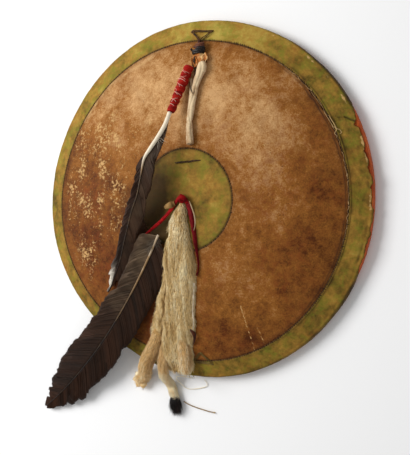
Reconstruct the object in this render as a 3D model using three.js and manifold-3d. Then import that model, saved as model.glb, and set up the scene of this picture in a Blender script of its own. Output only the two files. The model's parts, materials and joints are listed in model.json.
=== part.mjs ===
// A domed hide shield lying face up on its rim, with the feathers, weasel pelt and thongs tied to its face.
// Millimetres, +Z up. +Y points to the thong knot at the shield's top, +X to its right as worn.
import * as THREE from 'three';
import { mergeVertices } from 'three/addons/utils/BufferGeometryUtils.js';
import Module from 'manifold-3d';

// Driving dimensions of the disc
const RADIUS = 230;
const RIM_HEIGHT = 14;
const DOME_RISE = 46;
const BODY_THICKNESS = 7;
const COVER = 1.6;
const GAP = 0.3;
const LIP_WIDTH = 9;
const RIM_TURN = 4;
const BAND_FOOT = 4;
const SEAM_RADIUS = 204.8;
const SEAM_DRIFT = [-2.2, -2.7];
const MEDALLION_RADIUS = 64.3;
const MEDALLION_DRIFT = [0.4, -1.6];
const SEAM_CORD = 1;
const BACK_FLAT_RADIUS = 14;

// The disc is cut by hand: each row is a wave count, its height and its turn in degrees
const UNEVENNESS = [
  [2, 0.6, 127],
  [3, 1.0, -156],
  [4, 1.2, 53],
  [5, 0.5, -111],
];

// Where the shield's axis stands, so that the whole footprint is centred on the origin
const AXIS_X = 11.7;
const AXIS_Y = 34.8;

// Things tied to the face
const WRAP_RADIUS = 5.6;
const FEATHER_THICKNESS = 2;
const PELT_THICKNESS = 10;
const PELT_CLEARANCE = 1.8;
const TAIL_RADIUS = 6.5;
const LEG_RADIUS = 6.5;
const RIBBON_WIDTH = 5.5;
const RIBBON_THICKNESS = 1.4;
const SINEW_DIAMETER = 1.3;
const TAIL_CORD_DIAMETER = 1.6;
const OVERHANG = 24;

// Fineness of the faceted solids
const AROUND = 54;
const SEAM_SIDES = 5;

const COLOURS = {
  rawhide: [0x8a4a22, 0.75],
  field: [0xa8714a, 0.7],
  green: [0x8d8440, 0.7],
  sinew: [0x3a2a1c, 0.8],
  dark: [0x2a1c14, 0.6],
  orange: [0xb06a2a, 0.7],
  buckskin: [0xb8a58c, 0.85],
  thread: [0xb01a20, 0.45],
  feather: [0x2c2320, 0.6],
  fur: [0xb8955f, 0.9],
  ribbon: [0x9c1018, 0.6],
  pale: [0xd8ccb4, 0.7],
  cord: [0x5a4a3c, 0.8],
};

const wasm = await Module();
wasm.setup();

const shield = new THREE.Group();
const centred = new THREE.Group();
centred.position.set(AXIS_X, AXIS_Y, 0);
shield.add(centred);

// Heights

function domeHeight(radius) {
  return RIM_HEIGHT + DOME_RISE * (1 - (radius / RADIUS) ** 2);
}

// Height of what a soft thing lies on: the dome, then a smooth fall over the rim to the floor
function supportHeight(x, y) {
  const radius = Math.hypot(x, y);
  if (radius <= RADIUS) return domeHeight(radius);
  const fall = Math.min((radius - RADIUS) / OVERHANG, 1);
  return RIM_HEIGHT * (1 + Math.cos(Math.PI * fall)) / 2;
}

// How far a point moves outwards because a sewn circle is off the axis: the whole drift at that
// circle, fading to nothing at the circles on either side of it
function driftAt(radius, angle, circle, inner, outer, drift) {
  const share = radius < circle ? (radius - inner) / (circle - inner) : (outer - radius) / (outer - circle);
  const part = THREE.MathUtils.clamp(share, 0, 1);
  return part * (drift[0] * Math.cos(angle) + drift[1] * Math.sin(angle));
}

// The hand-cut disc: a point of the true round shield goes to its uneven place at the same depth,
// and a point of the flat foot stays on the floor
function handCut(x, y, z) {
  const angle = Math.atan2(y, x);
  const round = Math.hypot(x, y);
  const radius = round
    + driftAt(round, angle, SEAM_RADIUS, MEDALLION_RADIUS, RADIUS - RIM_TURN, SEAM_DRIFT)
    + driftAt(round, angle, MEDALLION_RADIUS, 0, SEAM_RADIUS, MEDALLION_DRIFT);
  let scale = 1;
  for (const [count, height, turn] of UNEVENNESS) {
    scale += height / RADIUS * Math.cos(count * angle - THREE.MathUtils.degToRad(turn));
  }
  const away = radius * scale;
  const rise = z > 1 ? domeHeight(radius) - domeHeight(round) : 0;
  return [away * Math.cos(angle), away * Math.sin(angle), z + rise];
}

// Building blocks

function moveVertices(geometry, place) {
  const position = geometry.attributes.position;
  for (let i = 0; i < position.count; i += 1) {
    const [x, y, z] = place(position.getX(i), position.getY(i), position.getZ(i));
    position.setXYZ(i, x, y, z);
  }
  return geometry;
}

function addPiece(name, geometry, [colour, roughness]) {
  const material = new THREE.MeshStandardMaterial({ color: colour, roughness, metalness: 0 });
  const mesh = new THREE.Mesh(geometry, material);
  mesh.name = name;
  centred.add(mesh);
  return mesh;
}

function turned(profile) {
  const points = profile.map(([radius, height]) => new THREE.Vector2(radius, height));
  return new THREE.LatheGeometry(points, AROUND).rotateX(Math.PI / 2);
}

// A row of profile points along the dome, a given depth below its face
function domeRow(from, to, rows, depth) {
  const row = [];
  for (let i = 0; i <= rows; i += 1) {
    const radius = THREE.MathUtils.lerp(from, to, i / rows);
    row.push([radius, domeHeight(radius) - depth]);
  }
  return row;
}

// A sewn ring of sinew that stands on a circle of the face
function seamRing(radius) {
  const size = SEAM_CORD / 2;
  const profile = [];
  for (let i = 0; i <= SEAM_SIDES; i += 1) {
    const turn = 2 * Math.PI * i / SEAM_SIDES;
    profile.push([radius + size * Math.sin(turn), domeHeight(radius) + GAP + size - size * Math.cos(turn)]);
  }
  return moveVertices(turned(profile), handCut);
}

// Value between stations given as [place, value] rows
function between(stations, place) {
  const last = stations.length - 1;
  let i = 0;
  while (i < last - 1 && place > stations[i + 1][0]) i += 1;
  const share = (place - stations[i][0]) / (stations[i + 1][0] - stations[i][0]);
  const eased = THREE.MathUtils.clamp(share, 0, 1);
  return THREE.MathUtils.lerp(stations[i][1], stations[i + 1][1], eased);
}

// A thin blade: a closed box of across by along cells, carried along a shaft curve in plan.
// undersideAt gives the height of its lower face, and thickness what stands above that.
function blade(shaft, leftWidth, rightWidth, thickness, undersideAt, cells) {
  const [across, along] = cells;
  const box = new THREE.BoxGeometry(1, 1, 1, across, along, 1);
  return moveVertices(box, (u, v, w) => {
    const place = v + 0.5;
    const middle = shaft.getPoint(place);
    const heading = shaft.getTangent(place);
    const width = u > 0 ? leftWidth(place) : rightWidth(place);
    const x = middle.x + heading.y * u * 2 * width;
    const y = middle.y - heading.x * u * 2 * width;
    return [x, y, undersideAt(x, y, place) + (w + 0.5) * thickness(u, place)];
  });
}

// A round tube along a curve, or a flat one where its width is a smaller share of its height
function tube(points, radius, steps, sides, flatness = 1) {
  const section = new THREE.Shape();
  for (let i = 0; i < sides; i += 1) {
    const angle = (2 * Math.PI * (i + 0.5)) / sides;
    const x = radius * flatness * Math.cos(angle);
    const y = radius * Math.sin(angle);
    if (i === 0) section.moveTo(x, y);
    else section.lineTo(x, y);
  }
  section.closePath();
  const curve = new THREE.CatmullRomCurve3(points.map((point) => new THREE.Vector3(...point)));
  return new THREE.ExtrudeGeometry(section, { steps, extrudePath: curve, bevelEnabled: false });
}

// Points given as [x, y, lift] stand their lift above what lies under them
function lying(route) {
  return route.map(([x, y, lift]) => [x, y, supportHeight(x, y) + lift]);
}

function asSolid(geometry) {
  const bare = geometry.clone();
  bare.deleteAttribute('normal');
  bare.deleteAttribute('uv');
  const merged = mergeVertices(bare, 1e-3);
  const vertProperties = new Float32Array(merged.attributes.position.array);
  const triVerts = new Uint32Array(merged.index.array);
  return new wasm.Manifold(new wasm.Mesh({ numProp: 3, vertProperties, triVerts }));
}

function asGeometry(solid) {
  const mesh = solid.getMesh();
  const geometry = new THREE.BufferGeometry();
  geometry.setAttribute('position', new THREE.BufferAttribute(mesh.vertProperties, 3));
  geometry.setIndex(new THREE.BufferAttribute(mesh.triVerts, 1));
  return geometry;
}

function joined(geometries) {
  return asGeometry(geometries.map(asSolid).reduce((whole, part) => whole.add(part)));
}

// The disc and its covers

function bodyProfile() {
  const top = COVER + GAP;
  const wall = RADIUS - COVER - GAP;
  const inner = wall - LIP_WIDTH;
  const under = domeRow(BACK_FLAT_RADIUS, inner, 5, top + BODY_THICKNESS);
  const lip = [[inner + 1, 0], [wall - 1.5, 0], [wall, 2], [wall, RIM_HEIGHT - RIM_TURN]];
  const face = domeRow(RADIUS - RIM_TURN, 0, 5, top);
  return [[0, under[0][1]], ...under, ...lip, ...face];
}

// The green band is turned down over the rim
function bandProfile() {
  const wall = RADIUS - COVER;
  const under = domeRow(SEAM_RADIUS + GAP, RADIUS - RIM_TURN, 2, COVER);
  const turn = [[wall, RIM_HEIGHT - RIM_TURN + 1], [wall, BAND_FOOT], [RADIUS, BAND_FOOT]];
  const face = domeRow(RADIUS - RIM_TURN, SEAM_RADIUS + GAP, 2, 0);
  return [...under, ...turn, [RADIUS, RIM_HEIGHT - RIM_TURN + 1.6], ...face, under[0]];
}

function fieldProfile() {
  const under = domeRow(MEDALLION_RADIUS + GAP, SEAM_RADIUS - GAP, 4, COVER);
  const face = domeRow(SEAM_RADIUS - GAP, MEDALLION_RADIUS + GAP, 4, 0);
  return [...under, ...face, under[0]];
}

function medallionProfile() {
  const edge = MEDALLION_RADIUS - GAP;
  return [...domeRow(0, edge, 2, COVER), ...domeRow(edge, 0, 2, 0)];
}

function makeDisc() {
  const round = (profile) => moveVertices(turned(profile), handCut);
  addPiece('rawhide_body', round(bodyProfile()), COLOURS.rawhide);
  addPiece('field_hide', round(fieldProfile()), COLOURS.field);
  addPiece('rim_band', round(bandProfile()), COLOURS.green);
  addPiece('centre_medallion', round(medallionProfile()), COLOURS.green);
  addPiece('band_seam_sinew', seamRing(SEAM_RADIUS), COLOURS.sinew);
  addPiece('medallion_seam_sinew', seamRing(MEDALLION_RADIUS), COLOURS.sinew);
}

// The thongs laced through the face

// A laced triangle of thong, its point turned to the middle of the shield
function thongTriangle(corners, thickness) {
  const [a, b, c] = corners.map(([x, y]) => new THREE.Vector2(x, y));
  const centre = new THREE.Vector2().add(a).add(b).add(c).divideScalar(3);
  const outline = new THREE.Shape([a, b, c]);
  const inset = (corner) => centre.clone().lerp(corner, 0.68);
  outline.holes.push(new THREE.Path([inset(a), inset(b), inset(c)]));
  const plate = new THREE.ExtrudeGeometry(outline, { depth: thickness, bevelEnabled: false });
  return moveVertices(plate, (x, y, z) => [x, y, supportHeight(x, y) + 2.2 + z]);
}

function makeThongs() {
  const topTriangle = thongTriangle([[-8.7, 217], [7, 201.5], [22.3, 214.5]], 1.6);
  const lowTriangle = thongTriangle([[-6, -211], [24, -212], [7, -196]], 1.6);
  addPiece('top_thong_triangle', topTriangle, COLOURS.dark);
  addPiece('bottom_thong_triangle', lowTriangle, COLOURS.dark);

  const stitch = new THREE.BoxGeometry(1, 1, 1, 6, 1, 1);
  moveVertices(stitch, (u, v, w) => {
    const x = 4.4 + u * 37;
    const y = 45.8 + u * 2.4 + v * 1.8;
    return [x, y, supportHeight(x, y) + 1 + w * 1.2];
  });
  addPiece('medallion_stitch', stitch, COLOURS.dark);

  const knot = new THREE.SphereGeometry(1, 14, 10);
  moveVertices(knot, (x, y, z) => {
    const place = [7.4 + x * 9, 191.2 + y * 7];
    return [...place, domeHeight(191.2) + 5.4 + z * 4 - (y * 7) * 0.33];
  });
  addPiece('top_knot', knot, COLOURS.dark);

  const tab = new THREE.SphereGeometry(1, 14, 10);
  moveVertices(tab, (x, y, z) => {
    const place = [9.5 + x * 10, 176.2 + y * 7];
    return [...place, domeHeight(176.2) + 5 + z * 3.2 - (y * 7) * 0.3];
  });
  addPiece('rawhide_tab', tab, COLOURS.orange);

  const pendantRoute = lying([
    [16.5, 166, 6], [14.5, 156, 5], [11.8, 142, 5], [8.8, 128, 5], [7.6, 110, 5], [6.4, 94, 5], [8.4, 68, 5],
  ]);
  addPiece('hide_pendant', tube(pendantRoute, 4.4, 18, 8), COLOURS.buckskin);
}

// The upper feather hangs by a quill bound with red thread. It arches clear of the dome, and its tip
// comes back down to it under the lower feather.
function makeUpperFeather() {
  const wrapRoute = lying([[-0.6, 166.5, 8], [-15, 108.6, 16]]);
  addPiece('red_thread_wrap', tube(wrapRoute, WRAP_RADIUS, 4, 12), COLOURS.thread);

  const shaft = new THREE.CatmullRomCurve3([
    new THREE.Vector3(-16.3, 105, 0), new THREE.Vector3(-21.4, 75.6, 0), new THREE.Vector3(-36.8, 48.9, 0),
    new THREE.Vector3(-50, 4, 0), new THREE.Vector3(-73, -34.8, 0), new THREE.Vector3(-97.4, -82.1, 0),
    new THREE.Vector3(-125, -123.4, 0),
  ]);
  const left = [[0, 2], [0.3, 4], [0.36, 10], [0.7, 11], [0.9, 7], [1, 3]];
  const right = [[0, 2], [0.15, 5], [0.25, 14], [0.36, 22], [0.5, 13], [0.667, 14], [0.74, 11], [0.83, 13], [1, 3]];
  const lift = [[0, 14.5], [0.167, 26], [0.333, 33], [0.5, 30], [0.6, 20.5], [0.667, 14], [0.74, 6.5], [0.833, 4.5], [1, 3.2]];
  const vane = blade(
    shaft,
    (place) => between(left, place),
    (place) => between(right, place),
    () => FEATHER_THICKNESS,
    (x, y, place) => supportHeight(x, y) + between(lift, place),
    [4, 18],
  );
  addPiece('upper_feather', vane, COLOURS.feather);
}

// The lower feather rests on the dome at its quill and on the floor at its tip
function makeLowerFeather() {
  const base = new THREE.Vector3(-32, -46, 0);
  const tip = new THREE.Vector3(-248, -294, 0);
  const bend = new THREE.Vector3(-112, -198, 0);
  const shaft = new THREE.QuadraticBezierCurve3(base, bend, tip);
  const left = [[0, 3], [0.1, 25], [0.3, 26], [0.65, 35], [0.85, 25], [1, 8]];
  const right = [[0, 3], [0.08, 18], [0.2, 27], [0.35, 30], [0.65, 29], [0.85, 24], [1, 8]];
  const vane = blade(
    shaft,
    (place) => between(left, place),
    (place) => between(right, place),
    () => FEATHER_THICKNESS,
    (x, y, place) => 66 - 62 * place + 24 * place * (1 - place),
    [4, 20],
  );
  addPiece('lower_feather', vane, COLOURS.feather);
}

// The weasel pelt lies down the dome, its hind feet and tail over the rim
function makePelt() {
  const spine = new THREE.CatmullRomCurve3([
    new THREE.Vector3(1, -11, 0), new THREE.Vector3(-5, -46, 0), new THREE.Vector3(-11, -90, 0),
    new THREE.Vector3(-16, -140, 0), new THREE.Vector3(-24, -175, 0), new THREE.Vector3(-36, -214, 0),
  ]);
  const half = [[0, 6], [0.18, 13], [0.35, 22], [0.62, 25], [0.85, 28], [1, 20]];
  const rise = (u, place) => PELT_THICKNESS * (1 - 2.4 * u * u) * Math.min(1, 0.55 + 2 * place);
  const body = blade(
    spine,
    (place) => between(half, place),
    (place) => between(half, place),
    rise,
    (x, y) => supportHeight(x, y) + PELT_CLEARANCE,
    [6, 18],
  );
  const leftLeg = tube(lying([
    [-48, -178, 8], [-55, -198, 8], [-65, -216, 9], [-77, -232, 9], [-92, -244, 8],
  ]), LEG_RADIUS, 8, 8);
  const rightLeg = tube(lying([
    [-14, -185, 8], [-13, -200, 8], [-13, -212, 8.2], [-12, -223, 9],
  ]), LEG_RADIUS, 6, 8);
  const tail = tube(lying([
    [-38, -200, 8], [-42, -218, 9], [-43, -236, 10], [-41, -256, 8], [-39, -274, 7.6], [-38, -291, 7.6],
  ]), TAIL_RADIUS, 12, 8);
  addPiece('weasel_pelt', joined([body, leftLeg, rightLeg, tail]), COLOURS.fur);
}

// The red ribbon ties the pelt and the lower feather to the middle
function makeRibbon() {
  const knot = new THREE.SphereGeometry(1, 12, 8);
  moveVertices(knot, (x, y, z) => [-0.6 + x * 6.5, -1.6 + y * 5, domeHeight(0) + 6 + z * 4.5]);
  addPiece('ribbon_knot', knot, COLOURS.ribbon);
  const left = lying([
    [-7.6, -3.6, 6], [-10.5, -8, 6.4], [-14, -13.5, 7], [-18, -18.5, 7.4], [-22.5, -23, 7.6],
    [-27.5, -27.5, 7.8], [-32.5, -31.5, 7.8], [-37.5, -35, 7.8], [-42.5, -38.5, 7.8], [-46.5, -41.5, 7.8],
    [-50.5, -44, 7.8], [-53.5, -46, 7.8], [-56, -47.5, 7.8], [-58, -48.8, 7.8], [-59.8, -49.8, 7.8],
  ]);
  const right = lying([
    [6.6, -3.6, 5.6], [8, -7, 4.8], [9.4, -11.5, 4], [10.5, -17, 3.2], [11.5, -23, 2.6], [12.6, -30, 2.2],
    [13.8, -37, 2.1], [14.8, -44, 2.1], [15.6, -51, 2.2], [16.4, -58, 2.3], [17.2, -65, 2.2],
    [18, -72, 2], [18.4, -79, 1.8], [18, -86, 1.8], [16.8, -92, 1.8], [15, -97, 1.8],
  ]);
  const flatness = RIBBON_THICKNESS / RIBBON_WIDTH;
  addPiece('ribbon_left_end', tube(left, RIBBON_WIDTH / 2, 20, 8, flatness), COLOURS.ribbon);
  addPiece('ribbon_right_end', tube(right, RIBBON_WIDTH / 2, 24, 8, flatness), COLOURS.ribbon);
}

// Loose ends on the floor below the pelt
function makeFloorThreads() {
  const sinew = [
    [-16, -236, 1.5], [-20, -235.4, 3.2], [-25, -234.2, 6.5], [-30, -233, 10.6], [-33.6, -232.4, 13.6],
    [-35.4, -233.6, 14.2], [-35.4, -236.6, 12.2], [-34.2, -240.4, 7.6], [-32.6, -244.6, 3], [-30, -248.6, 1],
    [-25.6, -250.8, 1], [-20, -251.2, 1], [-13, -250.2, 1], [-6, -248.6, 1], [0.6, -247, 1],
    [5, -245.4, 1], [6, -242.6, 1], [3.6, -239.4, 1], [0, -236.6, 1],
  ];
  const tailCord = [
    [-29.5, -268, 1.6], [-26, -269.8, 1.4], [-22, -271.6, 1.2], [-17.5, -273, 1.1], [-13, -274.2, 1.1],
    [-8.5, -275.2, 1.1], [-4, -276, 1.1], [0, -276.8, 1.1], [4, -277.6, 1.1], [8, -278.2, 1.1],
    [12, -278.6, 1.1], [16, -278.8, 1.1],
  ];
  addPiece('loose_sinew', tube(sinew, SINEW_DIAMETER / 2, 34, 8), COLOURS.pale);
  addPiece('tail_cord', tube(tailCord, TAIL_CORD_DIAMETER / 2, 16, 8), COLOURS.cord);
}

makeDisc();
makeThongs();
makeUpperFeather();
makeLowerFeather();
makePelt();
makeRibbon();
makeFloorThreads();

export default shield;
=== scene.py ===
"""A hide-covered shield lying face up, with feathers, a weasel pelt and thongs tied to its face.

Sizes are in millimetres from the shield's own axis, +Y towards the top knot, as the CAD part has
them. Each mesh is turned to metres in the CAD frame when it is made, so its object stays at the origin.
"""

from __future__ import annotations

import json
import logging
import math
from collections.abc import Sequence
from dataclasses import dataclass, field
from enum import Enum

import bpy
import numpy as np
from mathutils import Matrix, Vector


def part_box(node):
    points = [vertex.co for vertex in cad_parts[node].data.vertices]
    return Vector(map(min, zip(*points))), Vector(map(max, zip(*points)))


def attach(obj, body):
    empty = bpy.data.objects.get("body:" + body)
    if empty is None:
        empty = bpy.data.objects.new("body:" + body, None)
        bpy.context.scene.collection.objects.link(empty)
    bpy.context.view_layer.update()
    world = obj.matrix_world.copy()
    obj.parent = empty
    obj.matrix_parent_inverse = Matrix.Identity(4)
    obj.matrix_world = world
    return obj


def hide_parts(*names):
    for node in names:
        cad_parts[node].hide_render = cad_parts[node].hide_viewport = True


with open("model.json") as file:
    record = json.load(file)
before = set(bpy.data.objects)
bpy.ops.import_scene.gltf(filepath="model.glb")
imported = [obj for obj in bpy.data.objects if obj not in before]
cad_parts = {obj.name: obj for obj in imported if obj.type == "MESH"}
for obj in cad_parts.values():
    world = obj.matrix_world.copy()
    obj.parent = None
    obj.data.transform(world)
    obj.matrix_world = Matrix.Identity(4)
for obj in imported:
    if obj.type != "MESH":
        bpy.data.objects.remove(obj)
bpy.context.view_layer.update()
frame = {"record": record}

LOG = logging.getLogger("shield")
MM = 0.001
MOST_GRIME_AND_SHADE = 0.92
BODY = "root"
UP = np.array([0.0, 0.0, 1.0])
Array = np.ndarray
Rows = Sequence[Sequence[float]]
Route = tuple[tuple[float, float, float], ...]
Socket = bpy.types.NodeSocket
Node = bpy.types.Node
NodeTree = bpy.types.NodeTree
Material = bpy.types.Material
Piece = bpy.types.Object
Colour = tuple[float, float, float, float]
Dye = tuple[int, int, int]


def shield_axis() -> Array:
    """The shield's own axis, in millimetres of the CAD frame, from the mount at the middle of its back."""
    mount = next(m for m in frame["record"]["mounts"] if m["name"] == "back_centre")
    return np.array([mount["pos_m"][0], mount["pos_m"][1], 0.0]) / MM


AXIS = shield_axis()


def node_box(node: str) -> tuple[Array, Array]:
    """A CAD node's middle and half sizes, in millimetres from the shield's axis."""
    low, high = (np.array(corner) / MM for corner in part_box(node))
    return (low + high) / 2 - AXIS, (high - low) / 2


def srgb(red: int, green: int, blue: int) -> Colour:
    """A display colour, 0 to 255, as the linear colour that shaders take."""
    def linear(value: int) -> float:
        """One channel: the sRGB curve undone."""
        share = value / 255
        return share / 12.92 if share <= 0.04045 else ((share + 0.055) / 1.055) ** 2.4
    return (linear(red), linear(green), linear(blue), 1.0)


# Numbers on arrays


def evenly(count: int) -> Array:
    """Even steps from 0 to 1."""
    return np.linspace(0, 1, count)


def held(value: Array) -> Array:
    """A value held between 0 and 1."""
    return np.clip(value, 0, 1)


def step(value: Array, low: float, high: float) -> Array:
    """A smooth step: 0 up to low, 1 from high, and the cubic 3t^2 - 2t^3 between them."""
    share = held((value - low) / (high - low))
    return share * share * (3 - 2 * share)


def clipped(**values: Array) -> dict[str, Array]:
    """Values held between 0 and 1, and grime and painted shade a little below 1 so that no place is wholly covered.
    """
    return {name: np.clip(value, 0, MOST_GRIME_AND_SHADE if name == "grime" else 1) for name, value in values.items()}


def bell(value: Array, middle: float, width: float) -> Array:
    """A bell of height 1 round middle: e to the minus ((value - middle) / width) squared."""
    return np.exp(-(((value - middle) / width) ** 2))


def patch(x: Array, y: Array, middle: Sequence[float], reach: Sequence[float], turn: float = 0.0) -> Array:
    """A soft oval patch: a bell of the distance from middle, with its two half sizes, turned in degrees."""
    angle = math.radians(turn)
    dx, dy = x - middle[0], y - middle[1]
    along = dx * math.cos(angle) + dy * math.sin(angle)
    across = dy * math.cos(angle) - dx * math.sin(angle)
    return np.exp(-((along / reach[0]) ** 2) - (across / reach[1]) ** 2)


def patches(x: Array, y: Array, rows: Rows) -> Array:
    """A sum of soft patches, given as rows of (height, middle x, middle y, reach x, reach y, turn)."""
    return sum(row[0] * patch(x, y, row[1:3], row[3:5], row[5]) for row in rows)


def stroke(x: Array, y: Array, start: Sequence[float], end: Sequence[float], width: float) -> Array:
    """A soft line from start to end: a bell of the distance from the nearest point of that line."""
    run = np.array(end, float) - np.array(start, float)
    share = held(((x - start[0]) * run[0] + (y - start[1]) * run[1]) / (run @ run))
    away = np.hypot(x - start[0] - share * run[0], y - start[1] - share * run[1])
    return np.exp(-((away / width) ** 2))


def lattice(x: Array, y: Array, z: Array, seed: int) -> Array:
    """A repeatable random number, 0 to 1, at each whole-number place: large odd factors mix its bits."""
    with np.errstate(over="ignore"):
        mixed = (
            x.astype(np.int64).astype(np.uint32) * np.uint32(374761393)
            + y.astype(np.int64).astype(np.uint32) * np.uint32(668265263)
            + z.astype(np.int64).astype(np.uint32) * np.uint32(2246822519)
            + np.uint32(seed * 7919 + 17)
        )
        mixed = (mixed ^ (mixed >> np.uint32(13))) * np.uint32(1274126177)
        mixed = (mixed ^ (mixed >> np.uint32(15))) * np.uint32(2654435761)
    return ((mixed >> np.uint32(8)) & np.uint32(0xFFFF)) / 65535.0


def noise(x: Array, y: Array, z: Array | float = 0.0, size: float = 10.0, seed: int = 1) -> Array:
    """Smooth value noise, -1 to 1: random numbers on a lattice of that size, eased between its corners.

    Args:
        x: Places across.
        y: Places up.
        z: Heights, or a number that picks another slice.
        size: The distance from one random number to the next.
        seed: Which random numbers it draws.

    Returns:
        The noise at each place.
    """
    x, y, z = np.broadcast_arrays(np.asarray(x, float), np.asarray(y, float), np.asarray(z, float))
    places = [part / size + 100.0 * (i + 1) for i, part in enumerate((x, y, z))]
    cells = [np.floor(place) for place in places]
    shares = [place - cell for place, cell in zip(places, cells)]
    eased = [share**3 * (share * (share * 6 - 15) + 10) for share in shares]
    total = np.zeros(x.shape)
    for corner in range(8):
        offset = [(corner >> i) & 1 for i in range(3)]
        weight = np.ones(x.shape)
        for share, one in zip(eased, offset):
            weight = weight * (share if one else 1 - share)
        total += weight * lattice(*(cell + one for cell, one in zip(cells, offset)), seed)
    return total * 2 - 1


def wave(at: Array, seed: int, row: Array | float = 0.0, other: Array | float = 0.0) -> Array:
    """Noise along a line of numbers, one lattice step apart, on its own row of the lattice."""
    return noise(at, row, other, 1, seed)


def clouds(x: Array, y: Array, z: Array | float = 0.0, size: float = 10.0, octaves: int = 4, seed: int = 1) -> Array:
    """Noise summed over octaves, each half the size and 0.55 of the height of the one before."""
    total, height, norm = 0.0, 1.0, 0.0
    for octave in range(octaves):
        total = total + height * noise(x, y, z, size / 2**octave, seed + octave * 31)
        norm += height
        height *= 0.55
    return total / norm


def table(rows: Rows, at: Array) -> Array:
    """The value at each place, on the straight lines between rows of (place, value)."""
    places, values = np.array(rows, float).T
    return np.interp(at, places, values)


def read(rows: Array, at: Array, places: Array | None = None) -> Array:
    """The rows' vectors at fractional row numbers, or at places measured as the rows' own places are."""
    known = np.arange(len(rows)) if places is None else places
    return np.stack([np.interp(at, known, rows[:, i]) for i in range(rows.shape[1])], axis=-1)


def smooth_path(points: Rows, count: int) -> Array:
    """A Catmull-Rom curve through the points, resampled to count points an equal way apart.

    Args:
        points: The points that it goes through.
        count: How many points to give back.

    Returns:
        Points of shape (count, 2) or (count, 3).
    """
    known = np.array(points, float)
    padded = np.vstack([2 * known[0] - known[1], known, 2 * known[-1] - known[-2]])
    fine = np.linspace(0, len(known) - 1, 40 * len(known))
    cell = np.minimum(fine.astype(int), len(known) - 2)
    t = (fine - cell)[:, None]
    a, b, c, d = (padded[cell + i] for i in range(4))
    curve = 0.5 * (2 * b + (c - a) * t + (2 * a - 5 * b + 4 * c - d) * t**2 + (3 * b - a - 3 * c + d) * t**3)
    gone = np.concatenate([[0], np.cumsum(np.linalg.norm(np.diff(curve, axis=0), axis=1))])
    even = np.linspace(0, gone[-1], count)
    return read(curve, even, gone)


def relaxed(path: Array, times: int) -> Array:
    """A line of points, each inner one moved to the mean of itself and its two neighbours, that many times over."""
    for _ in range(times):
        path = np.vstack([path[:1], (path[:-2] + path[1:-1] + path[2:]) / 3, path[-1:]])
    return path


def path_length(path: Array) -> float:
    """The length of a line of points."""
    return float(np.linalg.norm(np.diff(path, axis=0), axis=1).sum())


def unit(vectors: Array) -> Array:
    """Each vector over its own length."""
    return vectors / np.maximum(np.linalg.norm(vectors, axis=-1, keepdims=True), 1e-9)


# Surfaces


@dataclass
class Surface:
    """Points in millimetres from the shield's axis, faces as rows of point numbers, and values at the points."""

    points: Array
    faces: list[Array]
    values: dict[str, Array] = field(default_factory=dict)

    def outward(self) -> Surface:
        """The same closed surface with its faces turned outwards: its signed volume is made positive.

        Returns:
            The surface itself.
        """
        volume = 0.0
        for rows in self.faces:
            corner = self.points[rows]
            for i in range(1, rows.shape[1] - 1):
                volume += np.einsum("ij,ij->", corner[:, 0], np.cross(corner[:, i], corner[:, i + 1]))
        if volume < 0:
            self.faces = [rows[:, ::-1] for rows in self.faces]
        return self

    @staticmethod
    def joined(parts: Sequence[Surface]) -> Surface:
        """Several surfaces as one, with 0 for a value that a part doesn't have.

        Args:
            parts: The surfaces to put together.

        Returns:
            One surface of all their points and faces.
        """
        names = sorted({name for part in parts for name in part.values})
        faces, start = [], 0
        for part in parts:
            faces += [rows + start for rows in part.faces]
            start += len(part.points)
        values = {
            name: np.concatenate([np.broadcast_to(part.values.get(name, 0.0), len(part.points)) for part in parts])
            for name in names
        }
        return Surface(np.vstack([part.points for part in parts]), faces, values)


def grid_faces(rows: int, columns: int, wrap_rows: bool = False, wrap_columns: bool = False) -> Array:
    """The quads of a grid whose points are numbered row by row, joined round where it wraps."""
    r = np.arange(rows if wrap_rows else rows - 1)[:, None]
    c = np.arange(columns if wrap_columns else columns - 1)[None, :]
    below, beside = (r + 1) % rows, (c + 1) % columns
    corners = [r * columns + c, r * columns + beside, below * columns + beside, below * columns + c]
    return np.stack(np.broadcast_arrays(*corners), axis=-1).reshape(-1, 4)


def lofted(sections: Array, values: dict[str, Array] | None = None) -> Surface:
    """Closed solids through rings of points: each ring joined to the next, and both ends capped with one face.

    Args:
        sections: Points of shape (solids, rings, sides, 3), or (rings, sides, 3) for one solid.
        values: Values of shape (solids, rings) or (solids, rings, sides), for every point of a ring.

    Returns:
        The surface, facing outwards.
    """
    if sections.ndim == 3:
        sections = sections[None]
        values = {name: np.asarray(value)[None] for name, value in (values or {}).items()}
    solids, rings, sides, _ = sections.shape
    start = (np.arange(solids) * rings * sides)[:, None, None]
    skin = (grid_faces(rings, sides, wrap_columns=True)[None] + start).reshape(-1, 4)
    first = (np.arange(sides)[None] + start[:, 0]).reshape(solids, sides)
    caps = [first[:, ::-1], first + (rings - 1) * sides]
    spread = {}
    for name, value in (values or {}).items():
        value = np.asarray(value, float)
        value = value[..., None] if value.ndim == 2 else value
        spread[name] = np.broadcast_to(value, (solids, rings, sides)).reshape(-1)
    return Surface(sections.reshape(-1, 3), [skin, *caps], spread).outward()


def sides_of(path: Array, up: Array) -> tuple[Array, Array]:
    """Two unit directions square to a path: sideways, and the one nearest to up.

    Args:
        path: Points of shape (..., rings, 3).
        up: The direction that the second one keeps closest to, of any shape that fits.

    Returns:
        The sideways and the upward directions, of the path's shape.
    """
    ahead = unit(np.gradient(path, axis=-2))
    sideways = unit(np.cross(ahead, np.broadcast_to(up, path.shape)))
    return sideways, np.cross(sideways, ahead)


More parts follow.
